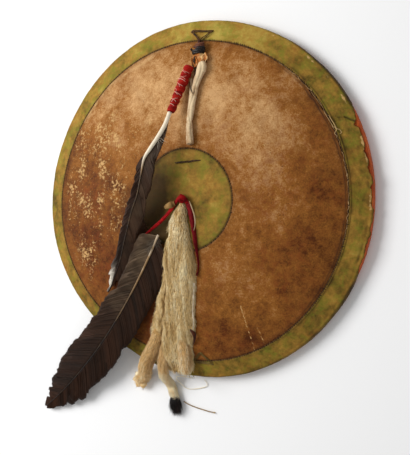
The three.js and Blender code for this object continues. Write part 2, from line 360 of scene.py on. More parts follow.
def tube(
    path: Array,
    radius: Array | float,
    sides: int = 8,
    up: Sequence[float] | Array = (0, 0, 1),
    flat: Array | float = 1.0,
    turn: Array | float = 0.0,
    tint: Array | None = None,
    values: dict[str, Array] | None = None,
) -> Surface:
    """Round or oval tubes along paths: each ring is the path's point, plus radius times (cos, flat times sin).

    Args:
        path: Points of shape (rings, 3) or (tubes, rings, 3).
        radius: The half width, at each ring or for all.
        sides: How many points a ring has.
        up: The direction that a ring's short axis keeps to.
        flat: The ring's height as a share of its width.
        turn: How far each ring is turned about the path, in radians.
        tint: The tone at the rings, where that is the only value.
        values: Values at the rings.

    Returns:
        The closed surface.
    """
    path = np.asarray(path, float)
    sideways, upward = sides_of(path, np.asarray(up, float))
    shape = path.shape[:-1]
    radius, flat, turn = (np.broadcast_to(np.asarray(v, float), shape)[..., None] for v in (radius, flat, turn))
    angle = 2 * np.pi * (np.arange(sides) + 0.5) / sides
    wide, high = radius * np.cos(angle), radius * flat * np.sin(angle)
    x = wide * np.cos(turn) - high * np.sin(turn)
    z = wide * np.sin(turn) + high * np.cos(turn)
    rings = path[..., None, :] + x[..., None] * sideways[..., None, :] + z[..., None] * upward[..., None, :]
    return lofted(rings, values if tint is None else {"tint": tint})


def strip(top: Array, thickness: float, values: dict[str, Array] | None = None) -> Surface:
    """A thin closed sheet: a grid of points on its upper face, and the same ones a thickness along the normal below.

    Args:
        top: Points of shape (rows, columns, 3).
        thickness: How thick the sheet is.
        values: Values of shape (rows, columns).

    Returns:
        The closed surface.
    """
    normal = unit(np.cross(np.gradient(top, axis=0), np.gradient(top, axis=1)))
    normal *= np.sign(normal[..., 2].mean()) or 1.0
    bottom = (top - normal * thickness)[:, ::-1]
    spread = {name: np.concatenate([value, value[:, ::-1]], axis=1) for name, value in (values or {}).items()}
    return lofted(np.concatenate([top, bottom], axis=1), spread)


# Shader nodes


class Graph:
    """Adds nodes to one node tree and joins them."""

    def __init__(self, tree: NodeTree) -> None:
        """Keeps the tree that nodes are added to."""
        self.tree = tree

    def add(self, kind: str, inputs: dict[str | int, object] | None = None, **settings: object) -> Node:
        """Adds a node.

        Args:
            kind: Blender's name of the node's type.
            inputs: A number, colour or socket for each named or numbered input.
            **settings: The node's own settings.

        Returns:
            The node.
        """
        made = self.tree.nodes.new(kind)
        for name, value in settings.items():
            setattr(made, name, value)
        for name, value in (inputs or {}).items():
            if isinstance(value, Socket):
                self.tree.links.new(value, made.inputs[name])
            else:
                made.inputs[name].default_value = value
        return made

    def places(self) -> Socket:
        """The Object coordinates, in metres."""
        return self.add("ShaderNodeTexCoord").outputs["Object"]

    def named(self, attribute: str) -> Socket:
        """The number that a piece's mesh holds under a name."""
        return self.add("ShaderNodeAttribute", attribute_name=attribute).outputs["Fac"]

    def math(self, operation: str, *inputs: object, clamp: bool = False) -> Socket:
        """A Math node's result."""
        made = self.add("ShaderNodeMath", dict(enumerate(inputs)), operation=operation, use_clamp=clamp)
        return made.outputs[0]

    def spread(self, value: object, low: float, high: float, start: float = 0.0, end: float = 1.0) -> Socket:
        """The value's range from low to high, stretched to start and end and held there."""
        made = self.add("ShaderNodeMapRange", {"Value": value, "From Min": low, "From Max": high, "To Min": start,
                "To Max": end})
        return made.outputs[0]

    def mix(self, share: object, first: object, second: object, how: str = "MIX") -> Socket:
        """Two colours mixed: a Mix node takes them at inputs 6 and 7, and gives them at output 2."""
        made = self.add("ShaderNodeMix", {0: share, 6: first, 7: second}, data_type="RGBA", blend_type=how)
        return made.outputs[2]

    def swayed(self, tone: Socket, by: Socket, low: float, high: float) -> Socket:
        """A tone moved by a 0 to 1 value that is stretched from low to high."""
        return self.math("ADD", tone, self.spread(by, 0, 1, low, high))

    def scaled(self, vector: object, factors: Sequence[float]) -> Socket:
        """A vector with each part multiplied by its own factor."""
        return self.add("ShaderNodeVectorMath", {0: vector, 1: tuple(factors)}, operation="MULTIPLY").outputs[0]

    def noise(self, where: object, size: float, detail: float = 4.0, roughness: float = 0.6,
        twist: float = 0.0) -> Socket:
        """Noise texture whose features are about size millimetres."""
        made = self.add(
            "ShaderNodeTexNoise",
            {"Vector": where, "Scale": 1 / (size * MM), "Detail": detail, "Roughness": roughness,
                "Distortion": twist},
        )
        return made.outputs["Fac"]

    def ramp(self, share: object, stops: Sequence[tuple[float, Colour]]) -> Socket:
        """The colour at a share along a row of (place, colour) stops."""
        made = self.add("ShaderNodeValToRGB", {0: share})
        row = made.color_ramp.elements
        for _ in range(len(stops) - 2):
            row.new(0.5)
        for element, (place, colour) in zip(row, stops):
            element.position = place
            element.color = colour
        return made.outputs["Color"]

    def bump(self, height: object, depth: float, strength: float = 1.0) -> Socket:
        """The normal of a relief that is depth millimetres high."""
        made = self.add("ShaderNodeBump", {"Height": height, "Distance": depth * MM, "Strength": strength})
        return made.outputs["Normal"]


class Effect(Enum):
    """The shader groups that several finishes use."""

    MOTTLE = "mottle"
    GRAIN = "hide_grain"
    SPECKS = "specks"


class Effects:
    """Builds each shared shader group once, and places it in a material."""

    made: dict[Effect, NodeTree] = {}

    @classmethod
    def place(cls, graph: Graph, effect: Effect, where: Socket, scale: float, **others: object) -> Node:
        """Puts a group in a material.

        Args:
            graph: The material's nodes.
            effect: Which group.
            where: The places it is drawn at.
            scale: How many of its features stand in a metre.
            **others: Values or sockets for the group's other inputs, by name.

        Returns:
            The group's node.
        """
        if effect not in cls.made:
            cls.made[effect] = getattr(cls, effect.value)()
        inputs = {"Vector": where, "Scale": scale, **others}
        return graph.add("ShaderNodeGroup", inputs, node_tree=cls.made[effect])

    @staticmethod
    def start(name: str, inputs: dict[str, str], outputs: dict[str, str]) -> tuple[Graph, Node, Node]:
        """Begins a group with named sockets.

        Args:
            name: The group's name.
            inputs: The kind of each named input: Vector, Float or Color.
            outputs: The kind of each named output.

        Returns:
            Its nodes, its input node and its output node.
        """
        tree = bpy.data.node_groups.new(name, "ShaderNodeTree")
        for way, sockets in (("INPUT", inputs), ("OUTPUT", outputs)):
            for socket, kind in sockets.items():
                tree.interface.new_socket(socket, in_out=way, socket_type=f"NodeSocket{kind}")
        graph = Graph(tree)
        return graph, graph.add("NodeGroupInput"), graph.add("NodeGroupOutput")

    @staticmethod
    def mottle() -> NodeTree:
        """Cloudy tone: wide noise with noise a quarter of its size on it, and their contrast raised.

        Returns:
            The group's nodes.
        """
        graph, given, result = Effects.start("mottle", {"Vector": "Vector", "Scale": "Float"},
            {"Tone": "Float", "Fine": "Float"})
        wide = graph.add("ShaderNodeTexNoise", {"Vector": given.outputs["Vector"], "Scale": given.outputs["Scale"],
                "Detail": 5.0, "Roughness": 0.62, "Distortion": 0.4})
        finer = graph.math("MULTIPLY", given.outputs["Scale"], 4.3)
        fine = graph.add("ShaderNodeTexNoise", {"Vector": given.outputs["Vector"], "Scale": finer, "Detail": 4.0,
                "Roughness": 0.7})
        both = graph.math("ADD", graph.math("MULTIPLY", wide.outputs["Fac"], 0.68),
            graph.math("MULTIPLY", fine.outputs["Fac"], 0.32))
        graph.tree.links.new(graph.spread(both, 0.34, 0.66), result.inputs["Tone"])
        graph.tree.links.new(graph.spread(fine.outputs["Fac"], 0.3, 0.7), result.inputs["Fine"])
        return graph.tree

    @staticmethod
    def hide_grain() -> NodeTree:
        """Hide's grain: small cells with worn edges, and fine tooth between them.

        Returns:
            The group's nodes.
        """
        graph, given, result = Effects.start("hide_grain", {"Vector": "Vector", "Scale": "Float"},
            {"Height": "Float"})
        bent = graph.add("ShaderNodeTexNoise", {"Vector": given.outputs["Vector"], "Scale": given.outputs["Scale"],
                "Detail": 3.0})
        cells = graph.add("ShaderNodeTexVoronoi", {"Vector": given.outputs["Vector"],
                "Scale": given.outputs["Scale"]}, feature="DISTANCE_TO_EDGE")
        tooth = graph.add("ShaderNodeTexNoise", {"Vector": given.outputs["Vector"],
                "Scale": graph.math("MULTIPLY", given.outputs["Scale"], 2.4), "Detail": 3.0, "Roughness": 0.7})
        worn = graph.spread(cells.outputs["Distance"], 0.0, 0.25)
        height = graph.math("ADD", graph.math("MULTIPLY", worn, 0.3),
            graph.math("MULTIPLY", tooth.outputs["Fac"], 0.5))
        graph.tree.links.new(graph.math("ADD", height, graph.math("MULTIPLY", bent.outputs["Fac"], 0.5)),
            result.inputs["Height"])
        return graph.tree

    @staticmethod
    def specks() -> NodeTree:
        """Broken specks of another colour: where noise passes a threshold that falls as Amount rises.

        Returns:
            The group's nodes.
        """
        graph, given, result = Effects.start(
            "specks", {"Vector": "Vector", "Scale": "Float", "Amount": "Float", "Under": "Color", "Over": "Color"},
            {"Color": "Color", "Mask": "Float"}
        )
        ragged = graph.add("ShaderNodeTexNoise", {"Vector": given.outputs["Vector"], "Scale": given.outputs["Scale"],
                "Detail": 6.0, "Roughness": 0.72})
        level = graph.math("SUBTRACT", graph.math("ADD", ragged.outputs["Fac"],
                graph.math("MULTIPLY", given.outputs["Amount"], 0.42)), 0.78)
        mask = graph.spread(level, 0.0, 0.07)
        graph.tree.links.new(graph.mix(mask, given.outputs["Under"], given.outputs["Over"]), result.inputs["Color"])
        graph.tree.links.new(mask, result.inputs["Mask"])
        return graph.tree


@dataclass(frozen=True)
class Finish:
    """A finish's name and its steady shader values."""

    name: str
    roughness: float = 0.7
    specular: float = 0.3
    sheen: float = 0.0

    def begin(self) -> tuple[Material, Graph, Node]:
        """A material with a Principled shader that holds the steady values.

        Returns:
            The material, its nodes and the shader.
        """
        material = bpy.data.materials.new(self.name)
        material.use_nodes = True
        graph = Graph(material.node_tree)
        shader = material.node_tree.nodes["Principled BSDF"]
        shader.inputs["Roughness"].default_value = self.roughness
        shader.inputs["Specular IOR Level"].default_value = self.specular
        shader.inputs["Sheen Weight"].default_value = self.sheen
        return material, graph, shader

    @staticmethod
    def wire(graph: Graph, shader: Node, **sockets: Socket) -> None:
        """Feeds the shader's inputs: colour, roughness and normal."""
        names = {"colour": "Base Color", "roughness": "Roughness", "normal": "Normal"}
        for name, socket in sockets.items():
            graph.tree.links.new(socket, shader.inputs[names[name]])


@dataclass(frozen=True)
class FieldFinish(Finish):
    """Old brown hide: cloudy tan and red-brown, pale flaked crust with a painted highlight along its ridge, grime in
    its seams, and painted shade in its seam gaps and under the ribbon's left end.
    """

    dark: Colour = srgb(80, 38, 6)
    middle: Colour = srgb(152, 96, 36)
    light: Colour = srgb(214, 168, 114)
    crust: Colour = srgb(206, 162, 104)
    russet: Colour = srgb(122, 58, 20)
    freckle: Colour = srgb(70, 34, 16)
    soil_and_shade: Colour = srgb(46, 24, 12)

    def material(self) -> Material:
        """Builds it from the mesh's tone, red, flake, and grime-and-shade values.

        Returns:
            The material.
        """
        material, graph, shader = self.begin()
        where = graph.places()
        clouded = Effects.place(graph, Effect.MOTTLE, where, 26.0)
        small = Effects.place(graph, Effect.MOTTLE, where, 130.0)
        tone = graph.swayed(graph.named("tone"), clouded.outputs["Tone"], -0.22, 0.2)
        tone = graph.swayed(tone, small.outputs["Tone"], -0.19, 0.17)
        tone = graph.swayed(tone, small.outputs["Fine"], -0.12, 0.12)
        colour = graph.ramp(tone, [(0.0, self.dark), (0.5, self.middle), (1.0, self.light)])
        reddish = graph.math("MULTIPLY", graph.named("red"), graph.spread(clouded.outputs["Fine"], 0.2, 0.9),
            clamp=True)
        colour = graph.mix(reddish, colour, self.russet)
        flaked = Effects.place(graph, Effect.SPECKS, where, 290.0, Amount=graph.named("flake"), Under=colour,
            Over=self.crust)
        speck = Effects.place(graph, Effect.SPECKS, where, 420.0, Amount=graph.named("freckle"),
            Under=flaked.outputs["Color"], Over=self.freckle)
        colour = graph.mix(graph.named("grime"), speck.outputs["Color"], self.soil_and_shade)
        grain = Effects.place(graph, Effect.GRAIN, where, 700.0)
        relief = graph.math("ADD", grain.outputs["Height"], graph.math("MULTIPLY", flaked.outputs["Mask"], 0.9))
        rough = graph.spread(small.outputs["Fine"], 0, 1, 0.58, 0.8)
        self.wire(graph, shader, colour=colour, roughness=rough, normal=graph.bump(relief, 0.22))
        return material


@dataclass(frozen=True)
class GreenFinish(Finish):
    """Hide rubbed with yellow-green earth, thin over the high places and dirty at its edges, with painted shade in
    its seam gaps, on the band's side away from the lamp and over the medallion's left half.
    """

    olive: Colour = srgb(92, 76, 24)
    ochre: Colour = srgb(164, 124, 50)
    yellow: Colour = srgb(182, 158, 72)
    bare: Colour = srgb(142, 80, 32)
    leaf: Colour = srgb(122, 127, 36)
    chip: Colour = srgb(196, 158, 98)
    soil_and_shade: Colour = srgb(48, 30, 12)

    def material(self) -> Material:
        """Builds it from the mesh's yellow, bare, grime-and-shade and chip values.

        Returns:
            The material.
        """
        material, graph, shader = self.begin()
        where = graph.places()
        clouded = Effects.place(graph, Effect.MOTTLE, where, 42.0)
        small = Effects.place(graph, Effect.MOTTLE, where, 170.0)
        shifted = Effects.place(graph, Effect.MOTTLE, graph.scaled(where, (1.0, -1.0, 1.0)), 60.0)
        tone = graph.swayed(graph.named("yellow"), clouded.outputs["Tone"], -0.34, 0.3)
        tone = graph.swayed(tone, small.outputs["Tone"], -0.16, 0.16)
        colour = graph.ramp(tone, [(0.0, self.olive), (0.55, self.ochre), (1.0, self.yellow)])
        greener = graph.spread(shifted.outputs["Tone"], 0.4, 0.8, 0.0, 0.55)
        colour = graph.mix(greener, colour, self.leaf)
        worn = graph.math("MULTIPLY", graph.named("bare"), graph.spread(shifted.outputs["Fine"], 0.25, 0.8),
            clamp=True)
        colour = graph.mix(worn, colour, self.bare)
        chips = Effects.place(graph, Effect.SPECKS, where, 230.0, Amount=graph.named("chip"), Under=colour,
            Over=self.chip)
        colour = graph.mix(graph.named("grime"), chips.outputs["Color"], self.soil_and_shade)
        grain = Effects.place(graph, Effect.GRAIN, where, 620.0)
        relief = graph.math("ADD", grain.outputs["Height"], graph.math("MULTIPLY", chips.outputs["Mask"], 0.8))
        self.wire(graph, shader, colour=colour, roughness=graph.spread(small.outputs["Fine"], 0, 1, 0.6, 0.85),
            normal=graph.bump(relief, 0.2))
        return material


@dataclass(frozen=True)
class RawhideFinish(Finish):
    """Bare rawhide: amber to rust, darker in its hollows as grime and painted shade, with fibres along its edge."""

    def material(self) -> Material:
        """Builds it from the mesh's rust and grime-and-shade values.

        Returns:
            The material.
        """
        material, graph, shader = self.begin()
        where = graph.places()
        clouded = Effects.place(graph, Effect.MOTTLE, where, 30.0)
        layered = Effects.place(graph, Effect.MOTTLE, graph.scaled(where, (0.25, 0.25, 4.0)), 160.0)
        colour = graph.ramp(clouded.outputs["Tone"], [(0.0, srgb(92, 62, 36)), (0.5, srgb(140, 102, 64)),
                (1.0, srgb(176, 142, 98))])
        rusty = graph.ramp(layered.outputs["Tone"], [(0.0, srgb(112, 38, 8)), (0.55, srgb(190, 82, 28)),
                (1.0, srgb(214, 122, 52))])
        colour = graph.mix(graph.named("rust"), colour, rusty)
        # Near black where the mask is high: grime, and painted shade where the seam gaps show the face under the
        # covers.
        colour = graph.mix(graph.named("grime"), colour, srgb(26, 14, 8))
        grain = Effects.place(graph, Effect.GRAIN, where, 380.0)
        relief = graph.math("ADD", grain.outputs["Height"], layered.outputs["Tone"])
        self.wire(graph, shader, colour=colour, roughness=graph.spread(clouded.outputs["Fine"], 0, 1, 0.45, 0.75),
            normal=graph.bump(relief, 0.3))
        return material


@dataclass(frozen=True)
class StrandFinish(Finish):
    """Thongs, threads, cloth and hair: a colour between three by each strand's tint, streaked along it."""

    dark: Colour = srgb(30, 20, 12)
    middle: Colour = srgb(70, 46, 28)
    light: Colour = srgb(110, 80, 52)
    size: float = 2.0
    relief: float = 0.15
    worn: Colour = srgb(150, 120, 84)
    wear: float = 0.0

    @classmethod
    def dyed(cls, name: str, roughness: float, dark: Dye, middle: Dye, light: Dye, **others: float) -> Material:
        """A strand's material, with its three tones given as display colours."""
        tones = {"dark": srgb(*dark), "middle": srgb(*middle), "light": srgb(*light)}
        return cls(name, roughness, **tones, **others).material()

    def material(self) -> Material:
        """Builds it from the mesh's tint value, 0 to 1, and noise on its places.

        Returns:
            The material.
        """
        material, graph, shader = self.begin()
        where = graph.places()
        small = Effects.place(graph, Effect.MOTTLE, where, 1 / (self.size * MM * 4))
        tone = graph.swayed(graph.named("tint"), small.outputs["Tone"], -0.16, 0.16)
        colour = graph.ramp(tone, [(0.0, self.dark), (0.5, self.middle), (1.0, self.light)])
        if self.wear:
            worn = graph.spread(small.outputs["Fine"], 0.62, 0.9, 0.0, self.wear)
            colour = graph.mix(worn, colour, self.worn)
        grain = Effects.place(graph, Effect.GRAIN, where, 1 / (self.size * MM))
        rough = graph.spread(small.outputs["Fine"], 0, 1, self.roughness - 0.08, self.roughness + 0.08)
        self.wire(graph, shader, colour=colour, roughness=rough,
            normal=graph.bump(grain.outputs["Height"], self.relief))
        return material


@dataclass(frozen=True)
class PatchyFinish(Finish):
    """A scrap of three colours in hard-edged patches, by the mesh's tint and stain values."""

    base: Colour = srgb(190, 122, 58)
    stain: Colour = srgb(52, 30, 16)
    pale: Colour = srgb(224, 200, 158)
    size: float = 5.0
    stained: float = 0.5

    def material(self) -> Material:
        """Builds it: pale where tint is high, stained where noise and the stain value meet.

        Returns:
            The material.
        """
        material, graph, shader = self.begin()
        where = graph.places()
        small = Effects.place(graph, Effect.MOTTLE, where, 1 / (self.size * MM))
        tone = graph.swayed(graph.named("tint"), small.outputs["Tone"], -0.25, 0.25)
        colour = graph.mix(graph.spread(tone, 0.3, 0.8), self.base, self.pale)
        marked = Effects.place(graph, Effect.SPECKS, where, 1.4 / (self.size * MM), Amount=graph.named("stain"),
            Under=colour, Over=self.stain)
        grain = Effects.place(graph, Effect.GRAIN, where, 900.0)
        self.wire(graph, shader, colour=marked.outputs["Color"],
            roughness=graph.spread(small.outputs["Fine"], 0, 1, 0.55, 0.85),
            normal=graph.bump(grain.outputs["Height"], 0.25))
        return material


@dataclass(frozen=True)
class VaneFinish(Finish):
    """Feather barbs: dark brown with a grey bloom and painted sheen, streaked barb by barb."""

    dark: Colour = srgb(20, 11, 5)
    brown: Colour = srgb(60, 33, 17)
    bloom_sheen_grey: Colour = srgb(122, 100, 76)
    pale: Colour = srgb(236, 226, 208)

    def material(self) -> Material:
        """Builds it from the mesh's tint, bloom-and-sheen and pale values.

        Returns:
            The material.
        """
        material, graph, shader = self.begin()
        where = graph.places()
        small = Effects.place(graph, Effect.MOTTLE, where, 90.0)
        tone = graph.swayed(graph.named("tint"), small.outputs["Tone"], -0.1, 0.1)
        colour = graph.mix(tone, self.dark, self.brown)
        colour = graph.mix(graph.named("bloom"), colour, self.bloom_sheen_grey)
        colour = graph.mix(graph.named("pale"), colour, self.pale)
        grain = Effects.place(graph, Effect.GRAIN, where, 1500.0)
        self.wire(graph, shader, colour=colour, roughness=graph.spread(small.outputs["Fine"], 0, 1, 0.42, 0.62),
            normal=graph.bump(grain.outputs["Height"], 0.1))
        return material


@dataclass(frozen=True)
class FloorFinish(Finish):
    """Plain white paper with the faintest tooth."""

    def material(self) -> Material:
        """Builds it: near-white, with a tone that wanders by a hundredth."""
        material, graph, shader = self.begin()
        tone = graph.noise(graph.places(), 40.0)
        self.wire(graph, shader, colour=graph.mix(tone, (0.985, 0.985, 0.985, 1), (0.99, 0.99, 0.99, 1)))
        return material


# Making pieces


def make_piece(name: str, surface: Surface, material: Material, nodes: Sequence[str] = ()) -> Piece:
    """Puts a surface into a mesh object in metres, dresses it and hands it to the frame.

    Args:
        name: The piece's name.
        surface: Its points, faces and values.
        material: Its finish.
        nodes: The CAD nodes that it stands for.

    Returns:
        The object.
    """
    mesh = bpy.data.meshes.new(name)
    mesh.vertices.add(len(surface.points))
    mesh.vertices.foreach_set("co", ((surface.points + AXIS) * MM).astype(np.float32).reshape(-1))
    corners = np.concatenate([rows.reshape(-1) for rows in surface.faces])
    sizes = np.concatenate([np.full(len(rows), rows.shape[1]) for rows in surface.faces])
    starts = np.concatenate([[0], np.cumsum(sizes)[:-1]])
    mesh.loops.add(len(corners))
    mesh.loops.foreach_set("vertex_index", corners.astype(np.int32))
    mesh.polygons.add(len(sizes))
    mesh.polygons.foreach_set("loop_start", starts.astype(np.int32))
    mesh.polygons.foreach_set("use_smooth", np.ones(len(sizes), bool))
    for value_name, value in surface.values.items():
        attribute = mesh.attributes.new(value_name, "FLOAT", "POINT")
        attribute.data.foreach_set("value", np.ascontiguousarray(value, dtype=np.float32))
    mesh.update(calc_edges=True)
    mesh.validate()
    mesh.materials.append(material)
    piece = bpy.data.objects.new(name, mesh)
    bpy.context.scene.collection.objects.link(piece)
    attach(piece, BODY)
    if nodes:
        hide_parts(*nodes)
    LOG.info("%s: %d points, %d faces", name, len(mesh.vertices), len(mesh.polygons))
    return piece


@dataclass(frozen=True)
class Dome:
    """The shield's shape: heights over its face, and how its hand-cut edge and seams wander."""

    radius: float = 230.0
    rim: float = 14.0
    rise: float = 46.0
    seam: float = 204.8
    medallion: float = 64.3
    turn: float = 226.0
    overhang: float = 24.0
    seam_drift: tuple[float, float] = (-2.2, -2.7)
    medallion_drift: tuple[float, float] = (0.4, -1.6)
    unevenness: tuple[tuple[int, float, float], ...] = ((2, 0.6, 127), (3, 1.0, -156), (4, 1.2, 53), (5, 0.5, -111))

    def height(self, radius: Array) -> Array:
        """The face's height: rim + rise (1 - (r / R)^2)."""
        return self.rim + self.rise * (1 - (radius / self.radius) ** 2)

    def support(self, x: Array, y: Array) -> Array:
        """The height of what a soft thing lies on: the dome, then half a cosine wave down to the floor."""
        radius = np.hypot(x, y)
        fall = held((radius - self.radius) / self.overhang)
        return np.where(radius <= self.radius, self.height(radius), self.rim * (1 + np.cos(np.pi * fall)) / 2)

    def over(self, route: Rows | Array) -> Array:
        """Points given as (x, y, lift) at their height above what lies under them."""
        points = np.array(route, float)
        points[..., 2] += self.support(points[..., 0], points[..., 1])
        return points

    def cut(self, radius: Array, angle: Array, z: Array) -> Array:
        """Points of the true round shield at their uneven places.

        A sewn circle's drift is whole at that circle and fades to nothing at its neighbours. Then the
        radius grows by the sum of height / R cos(count angle - turn), and a point keeps its depth.

        Args:
            radius: Distances from the axis.
            angle: Angles in radians.
            z: Heights.

        Returns:
            Points of the arguments' shape, with a last axis of 3.
        """
        moved = radius.astype(float)
        for circle, inner, outer, drift in (
            (self.seam, self.medallion, self.turn, self.seam_drift),
            (self.medallion, 0.0, self.seam, self.medallion_drift),
        ):
            share = np.where(radius < circle, (radius - inner) / (circle - inner),
                (outer - radius) / (outer - circle))
            moved = moved + held(share) * (drift[0] * np.cos(angle) + drift[1] * np.sin(angle))
        scale = 1.0
        for count, height, turn in self.unevenness:
            scale = scale + height / self.radius * np.cos(count * angle - math.radians(turn))
        rise = held(z / 2) * (self.height(moved) - self.height(radius))
        return np.stack([moved * scale * np.cos(angle), moved * scale * np.sin(angle), z + rise], axis=-1)


DOME = Dome()


# The studio


@dataclass(frozen=True)
class Studio:
    """A pale floor, soft light from the left and a camera that looks down on the shield."""

    yaw: float = 25.4
    pitch: float = -0.57
    distance: float = 1150.0
    aim: tuple[float, float] = (1.0, -37.0)
    lens: float = 69.36
    key_turn: float = 160.0
    key_height: float = 47.0
    key_energy: float = 32.5
    fill: float = 0.42
    softness: float = 1.1

    def camera(self) -> Piece:
        """Stands the camera at its distance from the aim, turned by yaw towards +X and tipped by pitch.

        Returns:
            The scene's camera.
        """
        yaw, pitch = math.radians(self.yaw), math.radians(self.pitch)
        back = Vector((math.sin(yaw) * math.cos(pitch), -math.sin(pitch), math.cos(yaw) * math.cos(pitch)))
        aim = Vector((self.aim[0] + AXIS[0], self.aim[1] + AXIS[1], 0.0)) * MM
        right = Vector((0, 1, 0)).cross(back).normalized()
        turned = Matrix((right, back.cross(right), back)).transposed().to_4x4()
        data = bpy.data.cameras.new("camera")
        data.lens = self.lens
        data.sensor_width = 36.0
        data.clip_end = 20.0
        made = bpy.data.objects.new("camera", data)
        made.matrix_world = Matrix.Translation(aim + back * self.distance * MM) @ turned
        bpy.context.scene.collection.objects.link(made)
        bpy.context.scene.camera = made
        return made

    def lamp(self, name: str, turn: float, height: float, distance: float, size: float, energy: float) -> Piece:
        """A square soft light that faces the shield.

        Args:
            name: The light's name.
            turn: Its direction round the shield from +X, in degrees.
            height: Its angle above the floor, in degrees.
            distance: How far it stands from the shield, in metres.
            size: Its side, in metres.
            energy: Its power, in watts.

        Returns:
            The light's object.
        """
        around, up = math.radians(turn), math.radians(height)
        away = Vector((math.cos(around) * math.cos(up), math.sin(around) * math.cos(up), math.sin(up)))
        data = bpy.data.lights.new(name, "AREA")
        data.shape = "SQUARE"
        data.size = size
        data.energy = energy
        made = bpy.data.objects.new(name, data)
        made.location = away * distance + Vector(tuple(AXIS * MM))
        made.rotation_euler = away.to_track_quat("Z", "Y").to_euler()
        bpy.context.scene.collection.objects.link(made)
        return made

    def floor(self) -> Piece:
        """A wide sheet of plain paper under the shield.

        Returns:
            The floor's object.
        """
        side = np.linspace(-4000.0, 4000.0, 9)
        x, y = np.meshgrid(side, side)
        mesh = bpy.data.meshes.new("floor")
        points = np.stack([x.ravel(), y.ravel(), np.full(x.size, -0.4)], axis=1) * MM
        mesh.from_pydata(points.tolist(), [], grid_faces(9, 9).tolist())
        mesh.materials.append(FloorFinish("paper", roughness=0.9, specular=0.1).material())
        made = bpy.data.objects.new("floor", mesh)
        bpy.context.scene.collection.objects.link(made)
        return made

    def light(self) -> None:
        """Sets the plain white surroundings, the soft light from the left, and true colours."""
        world = bpy.data.worlds.new("surroundings")
        world.use_nodes = True
        world.node_tree.nodes["Background"].inputs["Color"].default_value = (1, 1, 1, 1)
        world.node_tree.nodes["Background"].inputs["Strength"].default_value = self.fill
        bpy.context.scene.world = world
        bpy.context.scene.view_settings.view_transform = "Standard"
        self.lamp("soft_light", self.key_turn, self.key_height, 1.9, self.softness, self.key_energy)


# The disc


